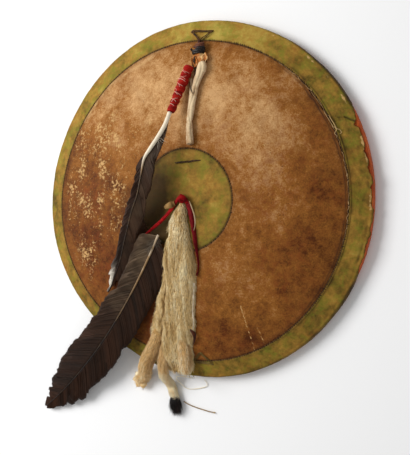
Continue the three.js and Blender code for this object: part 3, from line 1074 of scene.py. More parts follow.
@dataclass
class Disc:
    """The rawhide body and its three hide covers.

    Each is a profile carried round the axis: a grid of (place along the profile, angle), moved along
    its normal by noise, then hand cut by the dome's formula.
    """

    cover: float = 1.6
    gap: float = 0.35
    thickness: float = 7.0
    torn: tuple[float, float] = (-20.0, 30.0)
    crack: tuple[tuple[float, float], tuple[float, float]] = ((196.0, 97.0), (211.0, 88.5))
    opened: tuple[float, float] = (17.0, 41.0)

    def torn_share(self, angle: Array) -> Array:
        """How torn the band's edge is at an angle: 1 inside the torn stretch, fading over a few degrees."""
        turn = np.degrees(angle)
        return step(turn, self.torn[0] - 9, self.torn[0]) * (1 - step(turn, self.torn[1] - 3, self.torn[1] + 2))

    def opened_share(self, angle: Array) -> Array:
        """How far the outer seam has opened at an angle."""
        turn = np.degrees(angle)
        return (
            step(turn, self.opened[0] - 12, self.opened[0] + 2)
            * (1 - step(turn, self.opened[1] - 2, self.opened[1] + 2))
        )

    @staticmethod
    def angles(count: int) -> Array:
        """Angles all the way round, from -pi, without the last one."""
        return (np.arange(count) / count * 2 - 1) * np.pi

    @staticmethod
    def along(stations: Rows, shares: Array) -> Array:
        """Points at shares of the length of a line of stations."""
        line = np.array(stations, float)
        gone = np.concatenate([[0], np.cumsum(np.linalg.norm(np.diff(line, axis=0), axis=1))])
        at = shares * gone[-1]
        return read(line, at, gone)

    def body(self) -> Surface:
        """The rawhide: a closed profile from the face's pole, over the wall and foot, to the back's pole.

        Returns:
            The surface, with rust where the band is torn off it, and near-black grime and painted shade under the
            covers, which shows in the seam gaps.
        """
        top, wall = self.cover + 0.3, DOME.radius - self.cover - 0.3
        inner = wall - 9.0
        face = np.linspace(0.5, DOME.turn, 46)
        face_line = np.stack([face, DOME.height(face) - top], axis=1)
        rim_line = self.along([[DOME.turn, DOME.height(DOME.turn) - top], [wall - 0.5, 12.2], [wall, 10.5],
                [wall, 2.0], [wall - 1.5, 0.0], [inner + 1, 0.0], [inner, 2.5]], np.linspace(0.04, 0.98, 26))
        back = np.linspace(inner - 0.6, 0.5, 70)
        back_line = np.stack([back, DOME.height(np.maximum(back, 14.0)) - top - self.thickness], axis=1)
        line = np.vstack([face_line, rim_line, back_line])
        angle = self.angles(720)
        radius, turn = np.meshgrid(line[:, 0], angle, indexing="ij")
        z = np.broadcast_to(line[:, 1:2], radius.shape).copy()
        x, y = radius * np.cos(turn), radius * np.sin(turn)
        row = np.arange(len(line))[:, None]
        is_back = row >= len(face_line) + len(rim_line)
        is_rim = (row >= len(face_line)) & ~is_back
        torn = self.torn_share(turn)
        fibre = clouds(turn * 40, z, 0, 3.0, 3, 5) * 0.45
        bulge = is_rim * (z > 1.5) * (torn * 1.5 * step(z, 1.5, 5) + fibre * (0.35 + 0.65 * torn))
        z = z + is_rim * torn * step(z, 9, 12) * 1.2
        z = (
            z + is_back * held((inner - radius) / 12) * (clouds(x, y, 0, 46, 4, 9) * 1.3
                + clouds(x, y, 0, 9, 2, 10) * 0.25)
        )
        points = DOME.cut(radius + bulge, turn, z)
        rust = held(is_rim * (0.55 + 0.6 * torn) + step(radius, 196, 224) * ~is_back * torn)
        # The face under the covers is near black: grime, and painted shade where the seam gaps show it.
        grime = np.where(~is_back & ~is_rim, 1 - torn * step(radius, 214, 222), 0.0)
        grime = np.maximum(grime, is_back * (0.35 * bell(radius, inner, 10)
                + 0.25 * held(clouds(x, y, 0, 70, 3, 12))))
        return self.shell(points, {"rust": rust, "grime": grime})

    def shell(self, points: Array, values: dict[str, Array]) -> Surface:
        """Closes a grid of (profile, angle) points at both poles, with fans round the means of its end rows.

        Args:
            points: Points of shape (profile, angle, 3).
            values: Values of shape (profile, angle).

        Returns:
            The closed surface.
        """
        rows, around, _ = points.shape
        count = rows * around
        turn = np.arange(around)
        after = (turn + 1) % around
        first = np.stack([np.full(around, count), after, turn], axis=1)
        last = np.stack([np.full(around, count + 1), turn, after], axis=1)
        last[:, 1:] += (rows - 1) * around
        poles = np.stack([points[0].mean(0), points[-1].mean(0)])
        spread = {name: np.concatenate([value.reshape(-1), [value[0].mean(), value[-1].mean()]]) for name,
            value in values.items()}
        skin = Surface(np.vstack([points.reshape(-1, 3), poles]),
            [grid_faces(rows, around, wrap_columns=True), first, last], spread)
        return skin.outward()

    def band(self) -> Surface:
        """The green band: from the seam over the rim's corner and down its wall, to a ragged edge.

        The place along it runs from 0 at the seam to the edge, whose distance falls where it is torn.

        Returns:
            The surface, with yellow, bare, grime-and-shade and chip values.
        """
        start = DOME.seam + self.gap
        line = [[start, DOME.height(start)], [DOME.turn, DOME.height(DOME.turn)], [228.2, 15.0], [229.3, 13.7],
            [229.9, 12.0], [230.0, 4.0]]
        total = path_length(np.array(line))
        angle = self.angles(1280)
        torn = self.torn_share(angle)
        ragged = clouds(angle * 230, 0, 0, 9.0, 4, 21)
        edge = total - 0.5 + ragged * 0.9
        edge = edge * (1 - torn) + torn * (24.4 + 2.6 * clouds(angle * 230, 5, 0, 22, 2, 22) + 2.2 * ragged)
        notch = np.degrees(angle)
        edge -= 4.2 * bell(notch, 22.8, 1.0) + 2.6 * bell(notch, 14.5, 1.4) + 2.0 * bell(notch, 3.0, 0.8)
        upper = np.concatenate([np.linspace(0, 0.12, 6)[:-1], np.linspace(0.12, 1, 40)])
        lower = np.linspace(1, 0, 9)
        share = np.concatenate([upper, lower])[:, None]
        down = np.concatenate([np.zeros(len(upper)), np.ones(len(lower))])[:, None]
        at = share * edge[None]
        place = self.along(line, at / total)
        ahead = (
            self.along(line, np.clip(at + 0.4, 0, total) / total)
            - self.along(line, np.clip(at - 0.4, 0, total) / total)
        )
        normal = unit(np.stack([-ahead[..., 1], ahead[..., 0]], axis=-1))
        radius, z, turn = place[..., 0], place[..., 1], np.broadcast_to(angle, place.shape[:2])
        x, y = radius * np.cos(turn), radius * np.sin(turn)
        relief = clouds(x, y, z, 22, 4, 23) * 0.55 + clouds(x, y, z, 5, 2, 24) * 0.16
        relief += 0.5 * bell(at, 1.3, 1.1) * (0.6 + 0.8 * self.opened_share(turn))
        relief += 0.3 * wave(turn * 34, 25) * np.exp(-at / 5)
        relief -= 0.28 * np.exp(-((at / 0.45) ** 2))
        to_edge = edge[None] - at
        relief += torn * np.exp(-to_edge / 2.6) * (0.9 + 1.1 * wave(turn * 60, 26))
        crack = stroke(x, y, *self.crack, 1.1) + 1.2 * patch(x, y, (211.5, 88.0), (2.6, 1.6), -25)
        dent = stroke(x, y, (201.5, 73.0), (214.0, 60.0), 1.0) * 0.4
        relief -= 1.25 * held(crack) + 0.5 * dent
        relief = relief * (1 - down) - down * 1.5
        points = DOME.cut(radius + normal[..., 0] * relief, turn, z + normal[..., 1] * relief)
        # side is 1 towards the upper left, where the lamp stands: the yellow below rises with it as painted light.
        side = np.cos(turn - math.radians(128))
        yellow = (
            0.44 + 0.06 * side - 0.2 * patch(x, y, (-215, 0), (40, 120)) - 0.16 * patch(x, y, (200, 80), (50, 80))
            + 0.34 * patch(x, y, (40, 215), (90, 40)) - 0.16 * step(-y, 60, 200) + 0.3 * clouds(x, y, z, 30, 3, 27)
        )
        bare = (
            0.5 * bell(at, 22.5, 3.0) * (0.4 + clouds(x, y, 3, 12, 3, 28))
            + 0.5 * held(clouds(x, y, 1, 34, 3, 29) - 0.12) * 2
        )
        grime = 0.75 * held(crack) + 0.35 * np.exp(-at / 1.1) + 0.35 * bell(at, 3.4, 1.4) * held(wave(turn * 24, 30))
        low = step(np.degrees(turn), -62, -20) * (1 - step(np.degrees(turn), 44, 70))
        grime += (0.25 + 0.55 * low * (1 - torn)) * step(at, 23.5, 27.5) + torn * np.exp(-to_edge / 0.9) * 0.6
        # The grime clouds weigh more on the side away from the lamp: grime, and painted shade on that side.
        grime += 0.3 * held(clouds(x, y, 7, 16, 3, 31)) * (0.4 + 0.6 * (1 - step(side, -0.4, 0.5)))
        right = step(np.cos(turn), 0.35, 0.85)
        grime += (
            right * (0.5 * bell(at, 2.2, 0.8) + 0.34 * held(clouds(turn * 180, at * 3, 0, 12, 3, 35))
                + 0.4 * bell(at, 20.5, 1.6) * held(wave(turn * 30, 36, 4) + 0.3))
        )
        chip = (
            bell(at, 22.5, 2.2) * (0.55 + 0.5 * np.clip(wave(turn * 20, 32), -0.4, 1))
            * step(np.cos(turn - 0.5), 0.6, 0.95)
        )
        chip += (
            torn * np.exp(-to_edge / 1.1) * (0.16 + 0.5 * wave(turn * 40, 34, 6))
            + 0.35 * bell(at, 2.0, 1.5) * held(wave(turn * 30, 33, 2))
        )
        # The turned-down lip in the seam gap is darkened fully: painted shade.
        values = clipped(yellow=yellow, bare=bare, grime=grime + down, chip=chip)
        return self.ring(points, values)

    @staticmethod
    def ring(points: Array, values: dict[str, Array]) -> Surface:
        """A grid of (profile, angle) points that closes both ways."""
        rows, around, _ = points.shape
        spread = {name: np.broadcast_to(value, (rows, around)).reshape(-1) for name, value in values.items()}
        return Surface(points.reshape(-1, 3), [grid_faces(rows, around, True, True)], spread).outward()

    def field_hide(self) -> Surface:
        """The brown hide between the two seams, gently uneven, with its ridge, flaked crust and curled-up edge.

        Returns:
            The surface, with tone, red, flake, freckle, and grime-and-shade values.
        """
        angle = self.angles(770)
        opened = self.opened_share(angle)
        inner = DOME.medallion + self.gap
        outer = DOME.seam - self.gap - opened * (1.0 + 0.9 * wave(angle * 30, 40))
        near = np.array([0.0, 0.004, 0.009, 0.016])
        share = np.concatenate([near, np.linspace(0.024, 0.976, 112), 1 - near[::-1], [1.0, 0.66, 0.33, 0.0]])[:,
            None]
        down = np.concatenate([np.zeros(len(share) - 4), np.ones(4)])[:, None]
        radius = inner + share * (outer - inner)[None]
        turn = np.broadcast_to(angle, radius.shape)
        x, y = radius * np.cos(turn), radius * np.sin(turn)
        edge_in, edge_out = radius - inner, outer[None] - radius
        flake = self.flakes(x, y)
        ridge = stroke(x, y, (-172, 112), (-128, 158), 2.6) + stroke(x, y, (-128, 158), (-66, 185), 2.6)
        scratch = (
            stroke(x, y, (68, -132), (80, -187), 0.9) + stroke(x, y, (90, -170), (94, -181), 1.0)
            + stroke(x, y, (86, -158), (89, -166), 0.9) + stroke(x, y, (104, -64), (128, -60), 1.6) * 0.5
        )
        relief = clouds(x, y, 0, 60, 4, 41) * 0.9 + clouds(x, y, 0, 13, 3, 42) * 0.26 + noise(x, y, 0, 3.2, 43) * 0.05
        relief += 0.8 * ridge + 0.22 * flake - 0.3 * scratch
        relief *= held(np.minimum(edge_in, edge_out) / 9)
        relief -= 0.32 * np.exp(-((edge_in / 0.6) ** 2)) + 0.32 * np.exp(-((edge_out / 0.6) ** 2)) * (1 - opened)
        relief += 0.35 * bell(edge_in, 2.4, 1.6) + 0.3 * bell(edge_out, 2.6, 1.7)
        relief += opened * np.exp(-edge_out / 2.2) * (1.2 + 0.9 * wave(turn * 26, 44))
        relief += 0.2 * wave(turn * 38, 45) * (np.exp(-edge_out / 6) + np.exp(-edge_in / 5) * 0.8)
        relief = relief * (1 - down) - down * 1.45
        points = DOME.cut(radius, turn, DOME.height(radius) + relief)
        values = self.field_colours(x, y, edge_in, edge_out, np.maximum(ridge, scratch), opened)
        # Flake is laid along the ridge as a painted highlight, and along the scratches as rubbed crust.
        values["flake"] = held(flake + 0.85 * ridge * held(clouds(x, y, 0, 8, 2, 46) + 0.7) + 0.95 * scratch)
        # The turned-down lip in the seam gap is darkened fully: painted shade.
        values["grime"] = np.clip(values["grime"] + down, 0, 0.92)
        return self.ring(points, values)

    @staticmethod
    def flakes(x: Array, y: Array) -> Array:
        """Where the pale crust has flaked: soft patches times clouds."""
        broken = 0.56 + 0.42 * clouds(x * 1.1, y * 0.8, 0, 13, 4, 47)
        where = patches(x, y, (
            (1, -168, 6, 38, 104, 4), (0.75, -120, 36, 48, 82, -12), (0.5, -134, 92, 44, 44, 0),
            (0.5, -92, -30, 26, 64, -8), (0.45, -70, 96, 34, 40, 0), (0.55, 106, 62, 26, 20, 0),
            (0.3, 80, -96, 34, 26, 0), (0.35, 60, -40, 40, 16, 0), (0.35, -52, 92, 12, 26, 0),
            (0.35, -150, -92, 24, 40, 0),
        ))
        return held(where * 1.12) * broken

    @staticmethod
    def field_colours(x: Array, y: Array, edge_in: Array, edge_out: Array, worn: Array, opened: Array) -> dict[str,
        Array]:
        """The hide's colour values, each a sum of soft patches and clouds.

        Args:
            x: Places across.
            y: Places up.
            edge_in: Distances from the inner seam.
            edge_out: Distances from the outer seam.
            worn: Where it is paler: rubbed along the scratches, and a painted highlight along the ridge.
            opened: How far the outer seam has opened.

        Returns:
            Tone, red, freckle, and grime with painted shade.
        """
        tone = (
            0.47 + 0.2 * clouds(x, y, 0, 74, 4, 50) + (0.13 - 0.05 * step(y, 20, 120))
            * clouds(x * 1.3, y * 0.8, 0, 18, 4, 51)
        )
        tone += patches(x, y, (
            (0.24, -40, 150, 120, 62, 8), (0.14, 60, 140, 80, 50, 0), (0.1, 30, 84, 56, 40, 0),
            (0.12, 110, 40, 36, 60, 20), (0.1, 76, -60, 40, 60, 0), (-0.16, 168, -20, 42, 80, 0),
            (-0.12, 60, -176, 100, 26, 0), (-0.16, -120, -104, 70, 56, -40), (-0.12, -186, -20, 22, 90, 0),
            (-0.08, 152, 108, 30, 40, 0), (-0.12, 128, -62, 16, 5, 0), (-0.2, -150, 10, 62, 96, -6),
            (-0.16, -96, -60, 60, 70, -30), (-0.14, -60, -150, 80, 46, 20), (-0.16, 20, -176, 110, 34, 0),
            (-0.16, 150, -96, 40, 56, 30), (0.08, 120, 100, 50, 40, 0), (0.2, -104, 84, 44, 60, -20),
            (-0.12, -140, -6, 50, 70, 0), (0.16, 96, 84, 56, 60, 0), (0.06, 90, 0, 60, 60, 0),
        ))
        tone -= 0.42 * held(clouds(x, y, 6, 44, 4, 55) - 0.04) * step(x * 0.6 - y, -40, 90)
        # Tone rises along the ridge as a painted highlight, and along the scratches as wear.
        tone += 0.18 * worn
        red = (
            0.3 + 0.5 * clouds(x, y, 4, 48, 3, 52) + 0.45 * patch(x, y, (-118, -92), (84, 66), -35)
            + 0.3 * patch(x, y, (70, -168), (90, 34))
        )
        red += (
            0.25 * patch(x, y, (-150, 40), (50, 90)) + 0.25 * patch(x, y, (140, 30), (44, 110))
            - 0.45 * patch(x, y, (-20, 150), (130, 60))
        )
        freckle = (
            0.26 + 0.26 * clouds(x, y, 8, 16, 3, 53) + 0.14 * patch(x, y, (130, -40), (60, 120))
            + 0.2 * patch(x, y, (-150, 0), (50, 110))
        )
        grime = (
            0.45 * np.exp(-edge_in / 1.2) + 0.5 * np.exp(-edge_out / 1.1) + 0.22 * np.exp(-edge_out / 7)
            + 0.12 * np.exp(-edge_in / 8)
        )
        right = step(x / np.hypot(x, y), 0.35, 0.85)
        grime += 0.62 * right * bell(edge_out, 3.4, 1.0) * (0.75 + 0.4 * clouds(x, y, 11, 9, 2, 56))
        # Painted shade under the ribbon's left end, between the two feathers.
        grime += 0.8 * patch(x, y, (-64, -34), (18, 34), 20)
        grime += 0.2 * opened * np.exp(-np.abs(edge_out - 4) / 4) + 0.2 * held(clouds(x, y, 2, 30, 3, 54))
        return clipped(tone=tone, red=np.minimum(red, 0.85), freckle=freckle, grime=grime)

    def medallion(self) -> Surface:
        """The green middle disc: a closed cap whose face rises along its sewn edge.

        Returns:
            The surface, with yellow, bare, grime-and-shade and chip values.
        """
        edge = DOME.medallion - self.gap
        radius = np.concatenate([np.linspace(0.4, edge - 3, 62), edge - np.array([2.2, 1.4, 0.8, 0.3, 0.0])])
        under = np.array([edge, edge * 0.6, 0.4])
        radius, turn = np.meshgrid(np.concatenate([radius, under]), self.angles(420), indexing="ij")
        down = (np.arange(radius.shape[0]) >= radius.shape[0] - 3)[:, None]
        x, y = radius * np.cos(turn), radius * np.sin(turn)
        inward = edge - radius
        relief = clouds(x, y, 0, 26, 4, 60) * 0.4 + clouds(x, y, 0, 6, 2, 61) * 0.12
        relief = relief * held(inward / 8) - 0.28 * np.exp(-((inward / 0.6) ** 2)) + 0.4 * bell(inward, 2.2, 1.5)
        relief += 0.25 * wave(turn * 16, 62) * np.exp(-inward / 4)
        relief = np.where(down, -1.45, relief)
        points = DOME.cut(radius, turn, DOME.height(radius) + relief)
        yellow = 0.42 + 0.36 * clouds(x, y, 0, 24, 4, 63) + 0.12 * patch(x, y, (24, 8), (34, 40))
        bare = 0.5 * held(clouds(x, y, 3, 18, 3, 64) + 0.1) + 0.35 * patch(x, y, (30, -4), (26, 30)) * 0.6
        # The patches on the left half and lower left are painted shadow of the upper feather and the ribbon's left
        # end.
        grime = (
            0.55 * np.exp(-inward / 1.4) + 0.2 * np.exp(-inward / 7) + 0.35 * held(clouds(x, y, 5, 14, 3, 65))
            + 0.25 * patch(x, y, (0, -10), (22, 16)) + 1.1 * patch(x, y, (-42, 2), (27, 54), -14)
            + 0.7 * patch(x, y, (-32, -42), (30, 20), 20)
        )
        chip = 0.25 * held(noise(x, y, 0, 9, 66))
        # The turned-down lip in the seam gap is darkened fully: painted shade.
        values = clipped(yellow=yellow, bare=bare, grime=grime + down, chip=chip)
        return self.shell(points, values)

    def build(self) -> None:
        """Makes and dresses the body and its covers."""
        rawhide = RawhideFinish("rawhide", roughness=0.6, specular=0.18).material()
        make_piece("rawhide_disc", self.body(), rawhide, ["rawhide_body"])
        brown = FieldFinish("brown_hide", roughness=0.7, specular=0.13).material()
        make_piece("brown_field", self.field_hide(), brown, ["field_hide"])
        green = GreenFinish("green_hide", roughness=0.72, specular=0.13).material()
        make_piece("green_band", self.band(), green, ["rim_band"])
        make_piece("green_medallion", self.medallion(), green, ["centre_medallion"])


@dataclass
class Seams:
    """Sinew sewn over the two seams: a running thread in each, and slanted stitches over it."""

    pitch: float = 3.0
    reach: float = 1.9
    thread: float = 0.42

    def ring(self, circle: float, seed: int, opened: Disc) -> Surface:
        """One seam's thread and stitches.

        Each stitch is an arc from the inner hide to the outer one, sin(pi t) high, slanted along the seam.

        Args:
            circle: The seam's radius.
            seed: Which random numbers it draws.
            opened: The disc, which says where the outer seam has opened.

        Returns:
            The surface, with a tint value.
        """
        draw = np.random.default_rng(seed)
        count = int(2 * np.pi * circle / self.pitch)
        turn = np.linspace(-np.pi, np.pi, count, endpoint=False) + draw.normal(0, 0.12, count) * self.pitch / circle
        if circle > 100:
            turn = turn[draw.random(count) > 0.85 * opened.opened_share(turn)]
        count = len(turn)
        t = evenly(6)[None]
        reach = self.reach * draw.uniform(0.7, 1.15, (count, 1))
        radius = circle + (t - 0.5) * 2 * reach
        angle = turn[:, None] + (t - 0.5) * (1.5 + draw.normal(0, 0.25, (count, 1))) / circle
        lift = -0.45 + (0.85 + draw.uniform(-0.1, 0.3, (count, 1))) * np.sin(np.pi * t)
        paths = DOME.cut(radius, angle, DOME.height(radius) + lift)
        tint = np.broadcast_to(draw.uniform(0.1, 0.75, (count, 1)), (count, 6))
        stitches = tube(paths, self.thread, 5, flat=0.8, tint=tint)
        around = np.linspace(-np.pi, np.pi, 900)
        wander = 0.35 * noise(around * circle, 0, 0, 4, seed)
        loop = DOME.cut(circle + wander, around, DOME.height(circle + wander) - 0.25
            + 0.2 * noise(around * circle, 3, 0, 5, seed))
        running = tube(loop, 0.45, 5, tint=np.full(900, 0.6))
        return Surface.joined([stitches, running])

    def loose_threads(self) -> Surface:
        """Pale broken threads that stand out of the opened seam.

        Returns:
            The surface, with a tint value.
        """
        routes = [
            [(170.5, 106, 0.4), (172.5, 101.5, 1.5), (176, 96, 2.2), (180.5, 88.5, 1.6), (184, 83, 0.8)],
            [(176.5, 99.5, 0.2), (180, 94, 1.8), (184.5, 87, 2.6), (187, 81, 2.0), (185, 76.5, 1.2),
                (187.8, 72.5, 0.7)],
            [(183, 85.5, 0.5), (186.8, 82, 2.0), (190.6, 80.8, 2.2), (192.4, 77.5, 1.2), (190.2, 75.4, 0.9)],
            [(154, 129.5, 0.3), (158, 124, 1.5), (163, 117.5, 1.6), (168, 110, 0.6)],
        ]
        parts = []
        for i, route in enumerate(routes):
            path = DOME.over(smooth_path(route, 40))
            tint = np.full(40, (0.7, 1.0, 0.9, 0.5)[i])
            parts.append(tube(path, table([(0, 0.2), (0.15, 0.42), (0.85, 0.4), (1, 0.15)], evenly(40)), 6,
                    tint=tint))
        angle = np.radians(np.linspace(58, -16, 420))
        radius = DOME.seam - 0.5 + 0.9 * wave(angle * 50, 97)
        path = DOME.cut(radius, angle, DOME.height(radius) + 0.35 + 0.5 * wave(angle * 80, 98))
        thick = (
            0.5 * (1 + 0.35 * wave(angle * 90, 99)) * step(np.minimum(np.arange(420), 419 - np.arange(420)), -20, 60)
        )
        parts.append(tube(path, thick, 6, tint=0.42 + 0.4 * wave(angle * 60, 100, 3)))
        return Surface.joined(parts)

    def build(self, disc: Disc) -> None:
        """Makes and dresses both seams and the loose threads."""
        sinew = StrandFinish.dyed("sinew", 0.7, (34, 19, 7), (80, 52, 20), (136, 100, 50), size=1.0)
        make_piece("outer_seam", self.ring(DOME.seam, 71, disc), sinew, ["band_seam_sinew"])
        make_piece("inner_seam", self.ring(DOME.medallion, 72, disc), sinew, ["medallion_seam_sinew"])
        pale = StrandFinish.dyed("pale_sinew", 0.6, (80, 52, 26), (140, 104, 60), (196, 162, 112), size=1.0)
        make_piece("seam_threads", self.loose_threads(), pale)


# Thongs, knot and pendant


@dataclass
class Thongs:
    """What is laced through the face: two thong triangles, a stitch, the top knot, a scrap and the rolled pendant."""

    strand: float = 0.6

    def laced(self, corners: Rows, lift: float, radius: float, seed: int) -> Surface:
        """A double strand laid round three corners: each side is two lines a strand apart that cross at the corners.

        Args:
            corners: Three corners.
            lift: The strands' height over the face.
            radius: The strand's radius.
            seed: Which random numbers it draws.

        Returns:
            The surface, with a tint value.
        """
        draw = np.random.default_rng(seed)
        known = np.array(corners, float)
        middle = known.mean(0)
        t = evenly(26)
        parts = []
        for side in range(3):
            start, end = known[side], known[(side + 1) % 3]
            ahead = (end - start) / np.linalg.norm(end - start)
            across = np.array([-ahead[1], ahead[0]])
            for offset in (-1.0, 1.0):
                wobble = (
                    offset * radius * (1.5 + 0.7 * wave(t * 6, seed, side, offset))
                    + 0.35 * wave(t * 3, seed, side, 4)
                )
                flat = start + (end - start) * t[:, None] + across * wobble[:, None]
                flat = (
                    flat + (middle - flat) * 0.03 * (4 * t * (1 - t))[:, None] - ahead * radius * (1 - 2 * t)[:, None]
                )
                high = lift + 0.5 * offset * np.sin(5 * t + side) - 2.2 * (np.abs(2 * t - 1) ** 8)
                path = DOME.over(np.column_stack([flat, high]))
                thick = radius * (1 + 0.14 * wave(t * 9, seed + 1, side, offset))
                parts.append(tube(path, thick, 7, flat=0.8, tint=0.4 + 0.3 * wave(t * 5, seed, side)
                        + draw.uniform(-0.1, 0.1) * np.ones(26)))
        return Surface.joined(parts)

    def stitch(self) -> Surface:
        """The dark stitch across the medallion: two slack strands side by side, both ends drawn into the hide."""
        middle, half = node_box("medallion_stitch")
        t = np.linspace(-1, 1, 40)
        parts = []
        for offset in (-0.55, 0.6):
            x = middle[0] + half[0] * t
            y = middle[1] + t * 1.3 + offset * (1 - t**4) + 0.5 * wave(t * 5, 81, offset)
            lift = 0.95 - 1.6 * np.abs(t) ** 7 + 0.2 * wave(t * 4, 82, offset, 5)
            parts.append(tube(DOME.over(np.column_stack([x, y, lift])), 0.62, 6, tint=0.25 + 0.25 * wave(t * 7, 83)))
        return Surface.joined(parts)

    def coil(self, middle: Sequence[float], wide: float, high: float, radius: float, slant: float, turns: float,
        rise: float, flat: float, tint: float) -> Surface:
        """A strand wound round the hanging knot: an oval helix (wide cos a, rise a, high sin a), slanted across.

        Args:
            middle: The middle of the winding.
            wide: Its half width.
            high: Its half height over the face.
            radius: The strand's half width.
            slant: How much one end of each turn is lower than the other.
            turns: How many turns.
            rise: How far one turn stands from the next.
            flat: The strand's thickness as a share of its width.
            tint: The strand's tone.

        Returns:
            The surface, with a tint value.
        """
        a = np.linspace(-0.25, turns - 0.25, int(26 * turns)) * 2 * np.pi
        x = middle[0] + wide * np.cos(a)
        y = middle[1] + rise * (a / (2 * np.pi) - turns / 2) + slant * np.cos(a) + 0.3 * noise(a, 0, 0, 1.1, 84)
        z = middle[2] + high * np.sin(a)
        path = np.column_stack([x, y, z])
        out = np.column_stack([np.cos(a) / wide, np.zeros_like(a), np.sin(a) / high])
        thick = radius * (1 + 0.12 * noise(a, 3, 0, 0.9, 85))
        return tube(path, thick, 9, up=unit(out), flat=flat, tint=tint + 0.18 * noise(a, 6, 0, 0.8, 86))

    def knot(self) -> tuple[Surface, Surface]:
        """The top knot: twisted ends from the triangle, brown turns, and two broad black turns below them.

        Returns:
            The brown and the black surfaces.
        """
        middle, _ = node_box("top_knot")
        x, y, z = middle
        brown = [
            self.coil((x + 2.2, y + 4.6, z + 0.3), 5.6, 3.0, 1.35, 0.7, 2.2, 2.0, 0.75, 0.7),
            self.coil((x + 1.2, y + 1.5, z + 0.9), 6.4, 3.5, 1.5, -1.0, 1.4, 2.4, 0.7, 0.55),
        ]
        for side in (-1, 1):
            twist = evenly(30)
            path = np.column_stack([
                x - 0.6 + twist * 3.4 + side * 0.9 * np.cos(twist * 9), y + 11.5 - twist * 8.5,
                z - 3.0 + 4.6 * np.sin(twist * 1.7) + side * 0.6 * np.sin(twist * 9)
            ])
            brown.append(tube(path, 0.85, 7, tint=np.full(30, 0.45 + 0.12 * side)))
        black = [
            self.coil((x + 0.6, y - 2.2, z + 0.7), 8.2, 4.2, 2.1, 0.9, 1.5, 2.6, 0.62, 0.2),
            self.coil((x + 0.2, y - 5.2, z + 0.4), 7.6, 3.8, 1.7, 0.6, 1.2, 1.5, 0.66, 0.12),
        ]
        across = evenly(24)
        over = np.column_stack([x - 6 + 12.5 * across, y - 5.4 + 7.2 * across,
                z + 2.4 + 3.1 * np.sin(np.pi * across)])
        black.append(tube(over, 1.25 * (1 - 0.4 * np.abs(2 * across - 1) ** 4), 8, flat=0.7, tint=np.full(24, 0.3)))
        for end in ((x - 8.6, y - 1.2, z + 1.6), (x + 8.4, y - 4.0, z + 0.6)):
            t = evenly(12)
            nub = np.array(end) + np.column_stack([np.zeros(12), 3.2 * (t - 0.5), 0.6 * np.sin(np.pi * t)])
            black.append(tube(nub, 1.5 * np.sqrt(np.clip(1 - (2 * t - 1) ** 2, 0.04, 1)), 9, tint=np.full(12, 0.55)))
        return Surface.joined(brown), Surface.joined(black)

    def scrap(self) -> Surface:
        """A crumpled flap of raw hide under the knot: a grid, folded along its length and curled up at its edges.

        Returns:
            The surface, with tint and stain values.
        """
        middle, _ = node_box("rawhide_tab")
        parts = []
        for i, (dx, dy, wide, long, turn, lift) in enumerate(
            ((1.4, 0.8, 9.6, 9.4, -8.0, 0.0), (5.8, -3.2, 5.2, 8.4, -24.0, 1.2), (-4.8, -3.6, 4.2, 6.8, 16.0, 0.5))):
            v, u = np.meshgrid(np.linspace(-1, 1, 44), np.linspace(-1, 1, 36), indexing="ij")
            ragged = 1 + 0.16 * wave(v * 3, 87, i)
            across = u * wide * ragged * (1 - 0.22 * v * v)
            down = v * long * (1 + 0.12 * wave(u * 3, 88, i, 3))
            fold = 1.5 * np.cos(u * 4.2 + 1.6 * v + i) + 0.9 * clouds(u * 6, v * 6, i, 2.2, 3, 89)
            z = middle[2] - 1.2 + lift + fold + 1.6 * np.abs(u) ** 3 - 0.3 * down
            angle = math.radians(turn)
            x = middle[0] + dx + across * math.cos(angle) - down * math.sin(angle)
            y = middle[1] + dy + across * math.sin(angle) + down * math.cos(angle)
            z = np.maximum(z, DOME.support(x, y) + 1.3)
            pale = (
                0.25 + 0.75 * patch(u, v, (0.35, 0.7), (0.45, 0.35)) * (i == 0) + 0.35 * (i == 1)
                + 0.2 * wave(u * 4, 90, v * 4, i)
            )
            stain = (
                0.35 + 0.5 * patch(u, v, (-0.7, -0.3), (0.35, 0.8)) + 0.35 * patch(u, v, (0.8, -0.4), (0.3, 0.6))
                + 0.4 * clouds(u * 5, v * 5, i, 2, 3, 91)
            )
            parts.append(strip(np.stack([x, y, z], axis=-1), 0.9, clipped(tint=pale, stain=stain)))
        return Surface.joined(parts)

    def roll(self, route: Rows, widths: Rows, flat: float, fold: float, seed: int) -> Surface:
        """A rolled strip of soft hide: an oval tube whose width follows rows, with a fold pressed along it.

        Each ring is radius (1 - fold exp(-(angle - seam)^2 / 0.06)), less a shallower second fold beside it,
        and the seam wanders round the roll.

        Args:
            route: Points as (x, y, lift).
            widths: Rows of (share of the length, half width).
            flat: Height as a share of width.
            fold: How deep the fold is, as a share of the radius.
            seed: Which random numbers it draws.

        Returns:
            The surface, with tint and stain values: the tint is lighter on top as painted light, and the stain
                darkens the fold's crease as stain and painted shade, and the cut end.
        """
        rings, sides = 150, 40
        path = DOME.over(smooth_path(route, rings))
        share = evenly(rings)[:, None]
        angle = (2 * np.pi * np.arange(sides) / sides)[None]
        sideways, upward = sides_of(path, UP)
        seam = 1.9 + 0.7 * wave(share * 5, seed) + 0.5 * share
        turn = np.angle(np.exp(1j * (angle - seam)))
        second = np.angle(np.exp(1j * (angle - seam + 1.5)))
        radius = (
            table(widths, share) * (1 - fold * np.exp(-(turn**2) / 0.06) - 0.45 * fold * np.exp(-(second**2) / 0.04))
        )
        radius = (
            radius * (1 + 0.07 * noise(share * 26, np.cos(angle) * 2, np.sin(angle) * 2, 1.4, seed + 1)
                + 0.05 * wave(share * 9, seed + 2, np.cos(angle), np.sin(angle)))
        )
        end = np.minimum(share, 1 - share)
        radius = radius * np.sqrt(np.clip(end / 0.012, 0.1, 1))
        ring = (
            path[:, None] + (radius * np.cos(angle))[..., None] * sideways[:, None]
            + (radius * flat * np.sin(angle))[..., None] * upward[:, None]
        )
